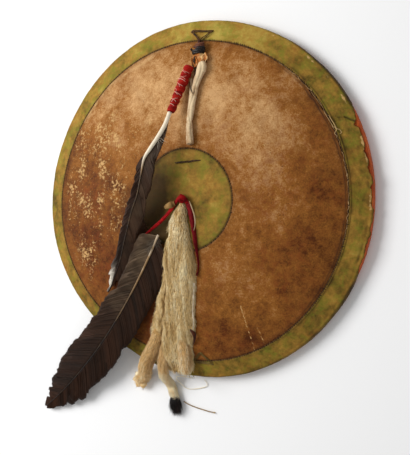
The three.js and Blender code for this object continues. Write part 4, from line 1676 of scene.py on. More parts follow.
        # Tint: lighter on the upper side as painted light, and darker at the cut end.
        tint = 0.55 + 0.25 * wave(share * 8, seed + 3, angle) + 0.12 * np.sin(angle) - 0.3 * step(share, 0.93, 1.0)
        # Stain: dark along the fold's crease as stain and painted shade, and at the cut end.
        stain = (
            np.exp(-(turn**2) / 0.02) * (0.35 + 0.6 * bell(share, 0.36, 0.07)) * (share < 0.97)
            + 0.3 * clouds(share * 14, np.cos(angle), np.sin(angle), 1.2, 3, seed + 4)
            + 0.6 * step(share, 0.965, 0.995)
        )
        return lofted(ring, clipped(tint=tint, stain=stain))

    def pendant(self) -> Surface:
        """The long roll with its knuckle, kink and cut end, and the thin strip beside it."""
        main = self.roll(
            [(14.6, 172.5, 5.6), (16.6, 165.5, 6.0), (14.4, 156.5, 5.4), (11.2, 146, 5.2), (9.4, 137, 5),
                (8.0, 126, 5), (7.4, 111, 5), (6.6, 97, 5), (7.8, 81, 5), (9.2, 66.5, 4.8)],
            [(0, 4.0), (0.05, 6.2), (0.11, 6.6), (0.17, 5.0), (0.3, 4.3), (0.45, 4.9), (0.6, 4.4), (0.7, 4.1),
                (0.735, 3.5), (0.76, 4.2), (0.87, 4.6), (1, 4.9)],
            0.78, 0.2, 92,
        )
        strip_beside = self.roll(
            [(2.6, 151.5, 3.0), (2.7, 146, 3.4), (3.7, 139.5, 3.8), (4.6, 131, 4.2), (5.3, 122, 4.0),
                (5.4, 112, 3.2)],
            [(0, 1.0), (0.2, 1.9), (0.6, 2.5), (1, 1.6)], 0.8, 0.2, 93,
        )
        return Surface.joined([main, strip_beside])

    def lace(self) -> Surface:
        """Two short ends of dark thong that come from the knot on the left of the pendant."""
        parts = []
        for route, radius in (
            ([(4.6, 181, 5.5), (3.4, 175, 4.0), (4.6, 168, 3.4), (7.0, 160, 3.6), (7.4, 153, 4.0)], 1.5),
            ([(2.2, 147.5, 6.6), (4.2, 141, 7.6), (7.0, 135.5, 8.8), (9.4, 130.5, 8.6)], 0.75),
        ):
            path = DOME.over(smooth_path(route, 50))
            t = evenly(50)
            parts.append(tube(path, table([(0, radius * 0.5), (0.1, radius), (0.85, radius * 0.8),
                            (1, radius * 0.25)], t), 8, flat=0.55, tint=0.25 + 0.2 * wave(t * 6, 94)))
        return Surface.joined(parts)

    def build(self) -> None:
        """Makes and dresses every thong."""
        dark = StrandFinish.dyed("dark_thong", 0.65, (24, 13, 5), (70, 42, 18), (130, 88, 46), size=1.2,
            specular=0.2, wear=0.5)
        make_piece("top_triangle", self.laced([(-8.2, 216.6), (21.6, 214.2), (7.2, 201.8)], 2.6, self.strand, 95),
            dark, ["top_thong_triangle"])
        olive = StrandFinish.dyed("low_thong", 0.65, (50, 34, 10), (102, 80, 30), (138, 114, 52), size=1.2, wear=0.2)
        make_piece("low_triangle", self.laced([(-5.2, -210.8), (23.0, -211.2), (7.2, -197.0)], 1.8, self.strand, 96),
            olive, ["bottom_thong_triangle"])
        make_piece("medallion_thread", self.stitch(), dark, ["medallion_stitch"])
        brown, black = self.knot()
        reddish = StrandFinish.dyed("brown_thong", 0.55, (28, 11, 6), (72, 32, 18), (124, 72, 42), size=1.2,
            specular=0.25, wear=0.2)
        make_piece("knot_turns", brown, reddish)
        glossy = StrandFinish.dyed("black_thong", 0.4, (8, 4, 2), (24, 13, 8), (96, 76, 54), size=1.4, specular=0.28,
            wear=0.2)
        make_piece("knot_band", black, glossy, ["top_knot"])
        raw = PatchyFinish("raw_scrap", roughness=0.6, base=srgb(184, 108, 40), stain=srgb(60, 34, 18),
            pale=srgb(232, 196, 136), size=6.0).material()
        make_piece("raw_flap", self.scrap(), raw, ["rawhide_tab"])
        soft = PatchyFinish("soft_buckskin", roughness=0.85, specular=0.15, sheen=0.2, base=srgb(176, 140, 100),
            stain=srgb(66, 44, 26), pale=srgb(228, 202, 162), size=5.0).material()
        make_piece("rolled_pendant", self.pendant(), soft, ["hide_pendant"])
        make_piece("thong_ends", self.lace(), dark)


# Feathers


@dataclass
class Feather:
    """A flight feather: a tapered shaft with hundreds of curved barbs on each side.

    A barb that ends at distance s along the shaft leaves it at s minus slant times its width there.
    Its place at share t is width t out from the shaft, and eased t along it, and it sags with t squared.
    """

    route: Rows
    left: Rows
    right: Rows
    shaft: Rows
    slit: Sequence[tuple[int, float, float, float]]
    droop: tuple[float, float]
    camber: tuple[float, float]
    horn: Rows
    slant: float = 1.15
    spacing: float = 0.6
    barb: float = 0.62
    seed: int = 100

    def line(self) -> tuple[Array, Array, float]:
        """The shaft's line: its points, the distance at each, and its length."""
        path = smooth_path(self.route, 500)
        length = path_length(path)
        return path, np.linspace(0, length, 500), length

    def barbs(self, side: int) -> tuple[Array, dict[str, Array], Array]:
        """One vane's barbs.

        Args:
            side: 1 for the right of the shaft, looking down it from the quill, and -1 for the left.

        Returns:
            The barbs' paths, their values and their half widths.
        """
        draw = np.random.default_rng(self.seed + side)
        path, gone, length = self.line()
        rows = self.right if side > 0 else self.left
        tip = np.arange(rows[0][0], length + 0.01, self.spacing)
        lobes = noise(tip, side, 0, 11, self.seed + 3)
        tip = np.clip(tip + 0.3 * noise(tip, side, 5, 6, self.seed + 4), 0, length)
        width = table(rows, tip) * (1 + 0.035 * noise(tip, side, 0, 5, self.seed) + draw.normal(0, 0.012, len(tip)))
        for where, middle, wide, depth in self.slit:
            if where == side:
                width = width * (1 - depth * bell(tip, middle, wide))
        frayed = step(tip / length, 0.72, 0.92)
        width = width * (1 + 0.14 * frayed * noise(tip, side, 8, 4.5, self.seed + 9))
        root = np.maximum(tip - self.slant * width, tip * 0.3)
        t = evenly(11)[None]
        along = root[:, None] + (tip - root)[:, None] * t**1.25
        along = np.minimum(along + t**2 * (4.0 * frayed * noise(tip, side, 7, 6, self.seed + 10))[:, None], length)
        out = width[:, None] * t
        centre = read(path, along, gone)
        ahead = read(unit(np.gradient(path, axis=0)), along, gone)
        sideways = unit(np.cross(UP, ahead)) * side
        points = centre + out[..., None] * sideways
        index = 0 if side < 0 else 1
        points[..., 2] += -self.droop[index] * out - self.camber[index] * (out / 30) ** 2
        points[..., 2] += t**2 * (0.9 * lobes[:, None] + 0.2 * noise(tip, side, 9, 2.2, self.seed + 5)[:, None])
        floor = DOME.support(points[..., 0], points[..., 1]) + 1.0
        points[..., 2] = np.maximum(points[..., 2], floor)
        tint = (
            0.36 + 0.26 * noise(tip, side, 0, 9, self.seed + 6) + 0.12 * noise(tip, side, 0, 1.6, self.seed + 7)
            + draw.normal(0, 0.05, len(tip))
        )
        tint += (
            (0.3 + 0.3 * (side < 0)) * step(tip / length, 0.86, 0.98)
            + 0.3 * (side < 0) * bell(tip / length, 0.56, 0.16)
        )
        shares = np.broadcast_to(t, along.shape)
        values = {"tint": held(np.broadcast_to(tint[:, None], along.shape)), "share": shares, "along": along / length}
        half = self.barb * np.clip(1 - 0.55 * shares**4, 0.12, 1) * np.ones_like(along)
        return points, values, half

    def vane(self, side: int, bloom: Rows, pale: Sequence[tuple[float, float, float]]) -> Surface:
        """Both colours and barbs of one vane.

        Args:
            side: 1 or -1, as for barbs.
            bloom: Rows of (share of the length, grey bloom and painted sheen).
            pale: White places as (share of the length, half length, least share across).

        Returns:
            The vane's surface.
        """
        points, values, half = self.barbs(side)
        along, share = values.pop("along"), values.pop("share")
        # The grey is the feather's bloom, with a painted sheen that is strongest near the shaft.
        bloom_sheen_grey = table(bloom, along) * (0.75 + 0.35 * wave(along * 60, self.seed + 8, share * 2, side))
        values["bloom"] = held(bloom_sheen_grey * (1 - 0.45 * share**3))
        values["tint"] = held(values["tint"] + 0.18 * share**3)
        white = np.zeros_like(along)
        for middle, reach, least in pale:
            white = np.maximum(white, bell(along, middle, reach) ** 0.5 * step(share, least, least + 0.12))
        values["pale"] = held(white * 1.15)
        barbs = tube(points, half, 3, flat=0.34, turn=0.3 * side, values=values)
        # The sheet under the barbs takes 0.7 of their tint: painted shade under them.
        under = points[::2] - np.array([0.0, 0.0, 0.45])
        shaded_web = strip(under, 0.25, {name: value[::2] * (0.7 if name == "tint" else 1.0) for name,
                value in values.items()})
        return Surface.joined([barbs, shaded_web])

    def quill(self) -> Surface:
        """The shaft: a tapering tube, a little taller than wide, with a groove's shade in its tint.

        Returns:
            The surface, with a tint value.
        """
        path, gone, length = self.line()
        path = path[::3]
        share = gone[::3] / length
        path = path + np.array([0, 0, 0.5])
        floor = DOME.support(path[:, 0], path[:, 1]) + 1.0
        path[:, 2] = np.maximum(path[:, 2], floor)
        return tube(path, table(self.shaft, share), 10, flat=0.9, tint=table(self.horn, share))

    def down(self, roots: Rows, ways: Rows, count: int, length: float, tint: tuple[float, float],
        thick: float) -> Surface:
        """Downy strands: count curling hairs that leave random places on a line of roots.

        Args:
            roots: The line that they grow from, as absolute points.
            ways: The direction at each root point.
            count: How many.
            length: How long, about.
            tint: The lowest and highest tint.
            thick: The half width.

        Returns:
            The surface, with a tint value.
        """
        draw = np.random.default_rng(self.seed + 40)
        known, headings = np.array(roots, float), np.array(ways, float)
        place = draw.random(count) * (len(known) - 1)
        start = read(known, place)
        way = read(headings, place)
        way = unit(way + draw.normal(0, 0.22, (count, 3)))
        bend = unit(draw.normal(0, 1, (count, 3)) * (1, 1, 0.4))
        t = evenly(7)[None, :, None]
        long = (length * draw.uniform(0.5, 1.2, count))[:, None, None]
        points = start[:, None] + way[:, None] * t * long + bend[:, None] * t**2 * long * 0.35
        points[..., 2] = np.maximum(points[..., 2], DOME.support(points[..., 0], points[..., 1]) + 0.8)
        shade = np.broadcast_to(draw.uniform(*tint, (count, 1)), (count, 7))
        return tube(points, thick * (1 - 0.8 * t[..., 0]) * np.ones((count, 7)), 3, tint=shade)


@dataclass
class Feathers:
    """The two eagle-sized feathers, and the red thread that binds the upper one's quill."""

    wrap_radius: float = 5.8
    thread: float = 0.5

    def upper(self) -> Feather:
        """The upper feather, which stands proud of the face and dives under the lower one."""
        rows = [
            (-16.3, 107.4, 16), (-18.6, 91, 22), (-24.2, 75.6, 28), (-31.2, 61.7, 33), (-38.6, 48.9, 35),
            (-42.4, 28.6, 35.5), (-50, 4, 32),
            (-61.5, -14.5, 26), (-73, -34.8, 18.5), (-85.8, -58.1, 11), (-97.4, -82.1, 7), (-116.2, -113.5, 5),
            (-125, -123.4, 4.5),
        ]
        route = DOME.over(smooth_path(rows, 60))
        return Feather(
            route,
            left=[(58, 0.8), (68, 2), (74, 7), (81, 10), (88, 7.5), (94, 10), (101, 8.5), (114, 11.5), (124, 9.5),
                (140, 12), (150, 10.5), (165, 12.5), (182, 11), (200, 10), (214, 9.5), (230, 11.5), (246, 11),
                (256, 7), (262, 2)],
            right=[(10, 0.8), (20, 3.5), (32, 7), (44, 9.5), (52, 11.5), (60, 12.5), (70, 13.5), (80, 14.5),
                (100, 15), (118, 12.5), (134, 17), (150, 16.5), (170, 13), (190, 14.5), (215, 12), (240, 8),
                (262, 1)],
            shaft=[(0, 2.9), (0.12, 2.8), (0.2, 2.4), (0.27, 1.4), (0.34, 0.7), (1, 0.3)],
            slit=[(1, 118.0, 1.2, 0.45), (-1, 101.0, 1.4, 0.4), (-1, 140.0, 1.4, 0.4), (-1, 171.0, 1.6, 0.4),
                (1, 186.0, 1.4, 0.3)],
            droop=(0.16, 0.24), camber=(4.0, 6.0), horn=[(0, 1), (0.2, 1), (0.27, 0.75), (0.33, 0.12), (1, 0.0)],
            slant=1.7, spacing=0.5, barb=0.55, seed=110,
        )

    def lower(self) -> Feather:
        """The lower feather: from the dome's middle, over the rim, to the floor."""
        t = evenly(40)[:, None]
        base, bend, tip = (np.array(point, float) for point in ((-32, -46), (-112, -198), (-248, -294)))
        flat = (1 - t) ** 2 * base + 2 * t * (1 - t) * bend + t**2 * tip
        share = t[:, 0]
        route = np.column_stack([flat, 67.5 - 61 * share + 24 * share * (1 - share)])
        return Feather(
            route,
            left=[(6, 12), (10, 22), (18, 27.5), (34, 28), (52, 25.5), (79, 25), (104, 24), (110, 30), (139, 32.6),
                (157, 29.4), (164, 33.5), (203, 34.4), (230, 36.6), (256, 35.4), (277, 29), (300, 22), (318, 15),
                (330, 9), (336, 3)],
            right=[(10, 4), (16, 14), (30, 24), (50, 29), (82, 28), (108, 29), (151, 30), (168, 26), (176, 29),
                (206, 29), (227, 28), (255, 24), (262, 27), (274, 28), (296, 20), (318, 14), (330, 9), (336, 3)],
            shaft=[(0, 1.5), (0.1, 1.4), (0.35, 0.9), (0.5, 0.6), (1, 0.3)],
            slit=[
                (1, 262.0, 1.0, 0.5), (1, 279.0, 1.7, 0.7), (1, 289.0, 0.9, 0.6), (1, 299.0, 1.2, 0.45),
                (1, 313.0, 2.0, 0.6),
                (-1, 289.0, 0.9, 0.2), (-1, 307.0, 1.2, 0.3), (-1, 324.0, 1.3, 0.5),
            ],
            droop=(0.04, 0.2), camber=(2.4, 5.0), horn=[(0, 0.66), (0.12, 0.5), (0.25, 0.3), (0.36, 0.1),
                (0.45, 0.0), (1, 0.0)], slant=1.25, spacing=0.6, barb=0.66, seed=130,
        )

    def wrap(self) -> tuple[Surface, Surface]:
        """Thread wound round the quill: a helix whose radius swells in bands, and pale strands slanted over it as
        painted highlights on its turns.

        Returns:
            The red winding with its core, and the pale strands of painted highlight.
        """
        start, end = DOME.over([(-0.6, 166.5, 8.0), (-15.0, 108.6, 16.0)])
        run = end - start
        length = float(np.linalg.norm(run))
        ahead = run / length
        side = unit(np.cross(ahead, UP))
        up = np.cross(side, ahead)

        def swell(at: Array) -> Array:
            """The winding's radius: seven bands, each rounded as the root of a sine."""
            share = held(at / length)
            bands = np.abs(np.sin(np.pi * (share * 6.6 + 0.25 + 0.12 * np.sin(share * 9))))
            return self.wrap_radius * (0.77 + 0.28 * bands**0.6) * (0.94 + 0.1 * np.sin(share * 5))

        turns = length / (self.thread * 1.7)
        a = np.linspace(0, turns, int(turns * 22))
        at = a / turns * length
        angle = a * 2 * np.pi
        radius = swell(at) + 0.12 * noise(a, 0, 0, 0.37, 120)
        around = np.cos(angle)[:, None] * side + np.sin(angle)[:, None] * up
        slanted = at + 1.1 * np.sin(angle + 0.8)
        helix = start + slanted[:, None] * ahead + radius[:, None] * around
        tint = 0.5 + 0.3 * noise(a, 0, 0, 2.0, 121) + 0.14 * noise(a, 0, 5, 0.6, 122)
        winding = tube(helix, self.thread, 5, up=around, tint=held(tint))
        core_at = np.linspace(-0.5, length + 0.5, 90)
        core = tube(start + core_at[:, None] * ahead, swell(core_at) - 0.25, 20, tint=np.full(90, 0.2))
        pale = []
        for i, (low, high, first, turned) in enumerate(((5, 12, 0.5, 1.4), (9, 10, 0.6, 2.0), (14, 24, 2.2, -1.5),
                (16, 20, 0.9, 1.5), (24, 31, 0.5, 1.5), (27, 29, 0.7, 1.9), (33, 42, 0.8, 1.2), (38, 41, 0.5, 2.2),
                (45, 53, 2.3, -1.3), (47, 51, 0.6, 1.7), (54, 57, 0.5, 1.9), (20, 22, 0.5, 2.2))):
            t = evenly(26)
            place = low + (high - low) * t
            turn = first + turned * t + 0.15 * np.sin(t * 7 + i)
            out = np.cos(turn)[:, None] * side + np.sin(turn)[:, None] * up
            line = (
                start + place[:, None] * ahead + (swell(place) + 0.62 - 0.8 * np.abs(2 * t - 1) ** 6)[:, None] * out
            )
            pale.append(tube(line, 0.34, 5, up=out, tint=np.full(26, 0.4 + 0.05 * i)))
        return Surface.joined([winding, core]), Surface.joined(pale)

    def build(self) -> None:
        """Makes and dresses both feathers and the binding."""
        red = StrandFinish.dyed("red_thread", 0.6, (72, 4, 2), (168, 18, 9), (202, 46, 26), size=0.8, specular=0.16)
        winding, slanted = self.wrap()
        make_piece("red_binding", winding, red, ["red_thread_wrap"])
        # The pale strands over the red binding are painted highlights along its turns.
        highlight_pink = StrandFinish.dyed("faded_thread", 0.6, (190, 104, 90), (222, 150, 132), (236, 188, 170), size=0.8)
        make_piece("binding_highlight_strands", slanted, highlight_pink)
        vane = VaneFinish("dark_vane", roughness=0.55, specular=0.16).material()
        horn = StrandFinish.dyed("quill_horn", 0.4, (30, 18, 10), (150, 116, 74), (246, 232, 206), size=3.0,
            specular=0.45, relief=0.12)
        down = StrandFinish.dyed("down", 0.8, (60, 50, 42), (150, 134, 114), (240, 230, 208), size=1.0,
            specular=0.15, relief=0.05)
        upper, lower = self.upper(), self.lower()
        make_piece("upper_vanes", Surface.joined([
            upper.vane(-1, [(0, 0.0), (0.3, 0.05), (0.6, 0.05), (1, 0.05)], [(0.94, 0.046, 0.25)]),
            upper.vane(1, [(0, 0.2), (0.2, 0.26), (0.35, 0.16), (0.5, 0.22), (0.7, 0.1), (1, 0.02)], []),
        ]), vane, ["upper_feather"])
        make_piece("upper_quill", upper.quill(), horn)
        make_piece("lower_vanes", Surface.joined([
            lower.vane(-1, [(0, 1.0), (0.14, 0.9), (0.25, 0.4), (0.33, 0.44), (0.42, 0.1), (0.7, 0.02), (1, 0.02)],
                []),
            lower.vane(1, [(0, 0.04), (0.4, 0.03), (1, 0.0)], []),
        ]), vane, ["lower_feather"])
        make_piece("lower_quill", lower.quill(), horn)
        path, _, _ = upper.line()
        at = path[[34, 50, 66, 78]]
        soft = [upper.down(at, [(0.5, -0.9, 0.0)] * 4, 46, 11, (0.55, 0.95), 0.24)]
        soft.append(upper.down(path[[8, 26]], [(0.5, -0.85, 0.1)] * 2, 16, 8, (0.0, 0.25), 0.24))
        base, _, _ = lower.line()
        soft.append(lower.down(base[[6, 30]], [(-0.8, -0.5, 0.1)] * 2, 90, 13, (0.05, 0.4), 0.26))
        soft.append(lower.down(base[[4, 20]], [(0.7, -0.8, 0.0)] * 2, 40, 9, (0.0, 0.25), 0.26))
        make_piece("feather_down", Surface.joined(soft), down)


# The pelt


@dataclass
class Pelt:
    """A weasel's pelt laid down the dome: a folded skin, its feet and tail, and the fur on them.

    The skin's point at height y and share u across is (middle(y) + u half(y), y), at its support plus
    a crown of (1 - |u|^2.6)^0.7, less the fold that runs down its left side.
    """

    crown: float = 8.6
    clearance: float = 1.6
    outline: Route = (
        (-4, -0.5, 3.0), (-8, -1, 4.8), (-18, -4, 9), (-27, -7, 12), (-46, -6.5, 14.2), (-65, -9, 19.5),
        (-80, -10, 22.6), (-97, -10.7, 22.2),
        (-109, -12.3, 23.2), (-129, -18, 25.6), (-145, -21.5, 27.3), (-162, -25, 29.2), (-177, -29.5, 29.6),
        (-190, -33.5, 30.4), (-200, -35, 30.4), (-208, -34.5, 29), (-215, -32, 25), (-220, -29, 20), (-223, -26, 14),
    )
    fold: tuple[tuple[float, float], ...] = ((-60, -0.95), (-97, -0.8), (-116, -0.55), (-142, -0.52), (-169, -0.5),
        (-190, -0.44), (-214, -0.3))
    hind_foot: Route = ((-46, -164, 0.5), (-52, -180, 2.5), (-61, -197, 6.5), (-71, -213, 10.0), (-79, -228, 9.5),
        (-86, -238, 8.8), (-94, -243.5, 7.4))
    near_foot: Route = ((-20, -166, 0.0), (-16, -180, 2.0), (-13, -196, 5.5), (-12.5, -207, 8.0), (-13.5, -216, 8.4),
        (-15, -222, 7.4))
    tail: Route = ((-40, -180, 0.0), (-43, -197, 3.5), (-47, -214, 8.0), (-48, -230, 10.0), (-45.5, -245, 8.0),
        (-41.5, -259, 6.6))
    tuft: Route = ((-41.8, -256, 6.8), (-40.6, -264, 6.4), (-40, -271, 5.0))

    def surface(self, y: Array, u: Array) -> Array:
        """The skin's points at heights y and shares u across.

        Args:
            y: Places down the pelt.
            u: Shares across, -1 to 1.

        Returns:
            Points with a last axis of 3.
        """
        rows = np.array(self.outline)[::-1]
        middle, half = np.interp(y, rows[:, 0], rows[:, 1]), np.interp(y, rows[:, 0], rows[:, 2])
        half = half * (1 + 0.045 * noise(y, np.sign(u) * 3, 0, 9, 140))
        x = middle + u * half
        fold = np.array(self.fold)[::-1]
        seam = np.interp(y, fold[:, 0], fold[:, 1]) + 0.04 * noise(y, 0, 0, 14, 141)
        deep = step(-y, 70, 110) * (1 - 0.6 * step(-y, 185, 214))
        height = self.crown * held(1 - np.abs(u) ** 2.6) ** 0.7 * held(0.5 + half / 30)
        height -= deep * 4.2 * bell(u, seam, 0.085) * held(height / 5)
        height -= deep * 1.6 * (u < seam) * held(height / 5)
        height += 1.1 * noise(x, y * 0.3, 0, 7, 142) * held(1.2 - np.abs(u)) + 0.7 * noise(x, y, 0, 18, 143)
        height *= 1 - 0.4 * step(-y, 204, 223)
        return np.stack([x, y, DOME.support(x, y) + self.clearance + np.maximum(height, 0.15)], axis=-1)

    def skin(self) -> Surface:
        """The closed skin: its upper face, and a flat underside just clear of what it lies on.

        Returns:
            The surface, with a tint value.
        """
        y, u = np.meshgrid(np.linspace(-4, -223, 176), np.sin(np.linspace(-1, 1, 60) * np.pi / 2), indexing="ij")
        top = self.surface(y, u)
        under = top.copy()
        under[..., 2] = DOME.support(top[..., 0], top[..., 1]) + 0.9
        tint = np.full(y.shape, 0.35)
        both = np.concatenate([tint, tint], axis=1)
        return lofted(np.concatenate([top, under[:, ::-1]], axis=1), {"tint": both})

    def limb(self, route: Rows, radii: Rows, flat: float, end: float = 0.55) -> Surface:
        """A leg or the tail: an oval tube whose half width follows rows of (share, half width), paler to its end."""
        path = DOME.over(smooth_path(route, 60))
        share = evenly(60)
        return tube(path, table(radii, share), 20, flat=flat, tint=0.4 + (end - 0.4) * step(share, 0.4, 0.9))

    def hairs(self, roots: Array, normals: Array, ways: Array, length: Array, tint: Array, seed: int,
        thick: float = 0.33, lie: float = 0.2) -> Surface:
        """Many tapering hairs that leave a surface and lie down along it.

        A hair's point at share t is root + way t L cos(lie) + normal L (sin(lie) t - 0.12 t^2), with a sideways bend.

        Args:
            roots: Points of shape (hairs, 3).
            normals: The surface's normals there.
            ways: The way that the fur lies there.
            length: Each hair's length.
            tint: Each hair's tone.
            seed: Which random numbers it draws.
            thick: The half width at the root.
            lie: The angle at which a hair leaves the surface, in radians.

        Returns:
            The surface, with a tint value.
        """
        draw = np.random.default_rng(seed)
        count = len(roots)
        normals = unit(normals)
        ways = unit(ways - (ways * normals).sum(-1, keepdims=True) * normals)
        aside = np.cross(normals, ways)
        bend = draw.normal(0, 0.16, count)[:, None, None]
        angle = (lie * draw.uniform(0.5, 1.7, count))[:, None, None]
        t = np.array([0.0, 0.5, 1.0])[None, :, None]
        long = length[:, None, None]
        points = roots[:, None] - normals[:, None] * 0.3 + ways[:, None] * t * long * np.cos(angle)
        points = (
            points + normals[:, None] * long * (np.sin(angle) * t - 0.12 * t**2)
            + aside[:, None] * bend * long * t**1.5
        )
        points[..., 2] = np.maximum(points[..., 2], 0.5)
        half = thick * np.array([1.0, 0.75, 0.08])[None] * draw.uniform(0.7, 1.3, (count, 1))
        tones = held(tint[:, None] + np.array([-0.14, 0.0, 0.12])[None])
        return tube(points, half, 3, up=normals[:, None] + 1e-3, flat=0.6, tint=tones)

    def back_fur(self, count: int) -> Surface:
        """The short fur of the back, streaked lengthwise, lying towards the tail and outwards at the sides.

        Args:
            count: How many hairs.

        Returns:
            The fur, with a tint value.
        """
        draw = np.random.default_rng(150)
        rows = np.array(self.outline)[::-1]
        spread = np.cumsum(np.interp(np.linspace(-223, -4, 400), rows[:, 0], rows[:, 2]))
        y = np.interp(draw.random(count), spread / spread[-1], np.linspace(-223, -4, 400))
        u = np.sin(draw.uniform(-1, 1, count) * np.pi / 2) * 0.995
        here = self.surface(y, u)
        step_u, step_y = self.surface(y, np.clip(u + 0.01, -1, 1)) - self.surface(y, u - 0.01), self.surface(y + 0.4,
            u) - self.surface(y - 0.4, u)
        normals = unit(np.cross(step_u, step_y))
        normals *= np.sign(normals[:, 2:3])
        x = here[:, 0]
        swirl = 0.16 * noise(x, y, 0, 11, 151)
        ways = np.stack([0.12 * u + swirl + 0.75 * np.sign(u) * step(np.abs(u), 0.86, 1.0), -np.ones(count),
                np.zeros(count)], axis=-1)
        ways[:, 0] -= 0.16 * step(-y, 90, 190)
        tint = (
            0.46 + 0.3 * noise(x * 1.6, y * 0.16, 0, 3.4, 152) + 0.16 * noise(x, y * 0.5, 0, 14, 153)
            + draw.normal(0, 0.12, count)
        )
        tint += (
            0.14 * bell(u, 0.3, 0.4) - 0.16 * bell(u, -0.62, 0.2) * step(-y, 90, 120) + 0.22 * bell(-y, 26, 16)
            + 0.12 * bell(u, -0.8, 0.1)
        )
        length = draw.uniform(6.0, 9.5, count) * (0.75 + 0.25 * step(-y, 20, 70))
        return self.hairs(here, normals, ways, length, held(tint), 154)

    def limb_fur(self, route: Rows, radii: Rows, flat: float, count: int, length: float, tint: Rows, seed: int,
        lie: float = 0.22) -> Surface:
        """Fur round a leg or the tail, lying towards its end.

        Args:
            route: The limb's route.
            radii: Its half widths.
            flat: Its height as a share of its width.
            count: How many hairs.
            length: How long they are.
            tint: Rows of (share along the limb, tone).
            seed: Which random numbers it draws.
            lie: The angle at which a hair leaves the limb.

        Returns:
            The fur.
        """
        draw = np.random.default_rng(seed)
        path = DOME.over(smooth_path(route, 120))
        sideways, upward = sides_of(path, UP)
        ahead = unit(np.gradient(path, axis=0))
        share = draw.random(count)
        place = share * 119
        centre, across, up, way = (read(part, place) for part in (path, sideways, upward, ahead))
        angle = draw.uniform(0, 2 * np.pi, count)
        radius = table(radii, share)
        out = np.cos(angle)[:, None] * across + np.sin(angle)[:, None] * up * flat
        normals = unit(np.cos(angle)[:, None] * across * flat + np.sin(angle)[:, None] * up)
        tones = table(tint, share) + 0.2 * wave(angle * 3, seed + 1, share * 3) + draw.normal(0, 0.1, count)
        return self.hairs(centre + out * radius[:, None], normals, way, length * draw.uniform(0.7, 1.25, count),
            held(tones), seed + 2, lie=lie)

    def paw(self, end: Sequence[float], way: float, spread: float, size: float, seed: int) -> tuple[Surface, Surface]:
        """A dried foot: a pad and four toes fanned from its end, each with a claw.

        Args:
            end: Where the leg ends, as an absolute point.
            way: The way that the toes point, in degrees.
            spread: The angle from one toe to the next, in degrees.
            size: The toes' half width.
            seed: Which random numbers it draws.

        Returns:
            The toes and the claws.
        """
        toes, claws = [], []
        t = evenly(22)
        for i in range(4):
            angle = math.radians(way + (i - 1.5) * spread)
            reach = size * (3.4 if i in (1, 2) else 2.8)
            line = (
                np.array(end, float) + np.column_stack([math.cos(angle) * reach * t, math.sin(angle) * reach * t,
                        1.5 * np.sin(np.pi * t) - 1.8 * t + 0.3 * i])
            )
            line[:, 2] = np.maximum(line[:, 2], size * 0.8)
            bulbs = size * (0.8 + 0.22 * np.cos(t * 9 + 1)) * np.sqrt(np.clip(1 - (2 * t - 1) ** 6, 0.05, 1))
            toes.append(tube(line, bulbs, 12, flat=0.85, tint=0.6 + 0.3 * wave(t * 4, seed, i)))
            tip = line[-1] + np.column_stack([math.cos(angle) * 3.2 * t, math.sin(angle) * 3.2 * t, -1.1 * t**2])
            tip[:, 2] = np.maximum(tip[:, 2], 0.6)
            claws.append(tube(tip, 0.6 * (1 - 0.85 * t), 6, tint=0.5 - 0.3 * t))
        return Surface.joined(toes), Surface.joined(claws)

    def skin_edge(self) -> Surface:
        """The scalloped edge of bare skin down the right side, and the strip that curls from under the ribbon.

        Returns:
            The surface, with a tint value.
        """
        parts = []
        y = np.linspace(-106, -166, 90)
        edge = self.surface(y, np.full(90, 0.985))
        scallop = 0.9 * np.abs(np.sin(y * 0.42 + noise(y, 0, 0, 9, 160)))
        width = evenly(5)[None]
        x = edge[:, 0:1] - 0.6 + width * (1.3 + 0.8 * scallop)[:, None]
        z = edge[:, 2:3] + 1.8 - 1.2 * width**2 + 0.3 * noise(y, 4, 0, 5, 161)[:, None]
        parts.append(strip(np.stack([x, np.broadcast_to(y[:, None], x.shape), z], axis=-1), 0.5,
                {"tint": np.full(x.shape, 0.8)}))
        path = DOME.over(smooth_path([(10.6, -3.6, 5.5), (13.4, -9, 6.8), (16.6, -17, 7.0), (18.2, -25, 6.2),
                    (17.6, -33, 4.8), (15.0, -40, 3.4)], 50))
        t = evenly(50)
        parts.append(tube(path, table([(0, 0.4), (0.2, 0.7), (0.7, 0.8), (1, 0.3)], t), 10, flat=0.42, turn=0.5,
                tint=0.3 + 0.2 * wave(t * 5, 162)))
        return Surface.joined(parts)

    def dried_bits(self) -> Surface:
        """The red-brown curl of dried skin at the right edge, and the hollow's ragged lip between the feet."""
        parts = []
        for route, wide, turn in (
            ([(-3.5, -163, 3.0), (1.5, -167, 6.0), (4.4, -174, 5.6), (3.2, -181, 3.8), (-1.0, -187, 2.0)], 2.5, 0.7),
            ([(1.0, -166, 2.5), (5.0, -172, 3.6), (4.6, -179, 3.0)], 1.1, -0.4),
            ([(-33, -207, 4.0), (-28, -211, 5.5), (-22, -213, 5.0), (-18, -211, 3.0)], 2.2, 0.5),
        ):
            path = DOME.over(smooth_path(route, 40))
            t = evenly(40)
            parts.append(tube(path, wide * (0.45 + 0.6 * np.sin(np.pi * t)), 12, flat=0.3, turn=turn + 1.2 * t,
                    tint=0.5 + 0.4 * wave(t * 5, 163, wide)))
        return Surface.joined(parts)

    def snout(self) -> Surface:
        """The dried snout that shows left of the ribbon's knot: a lumpy tapering tube with a notch for its mouth."""
        path = DOME.over(smooth_path([(-9.5, -6.2, 6.5), (-13.5, -8.0, 8.0), (-18.5, -9.8, 8.0),
                    (-23.0, -11.8, 6.6)], 50))
        t = evenly(50)
        radius = (
            table([(0, 3.0), (0.3, 4.4), (0.6, 3.9), (0.8, 3.1), (0.95, 2.5), (1, 1.0)], t)
            * (1 + 0.08 * wave(t * 8, 164))
        )
        return tube(path, radius, 18, flat=0.8, tint=0.12 + 0.3 * wave(t * 6, 165, 3) + 0.1 * t)

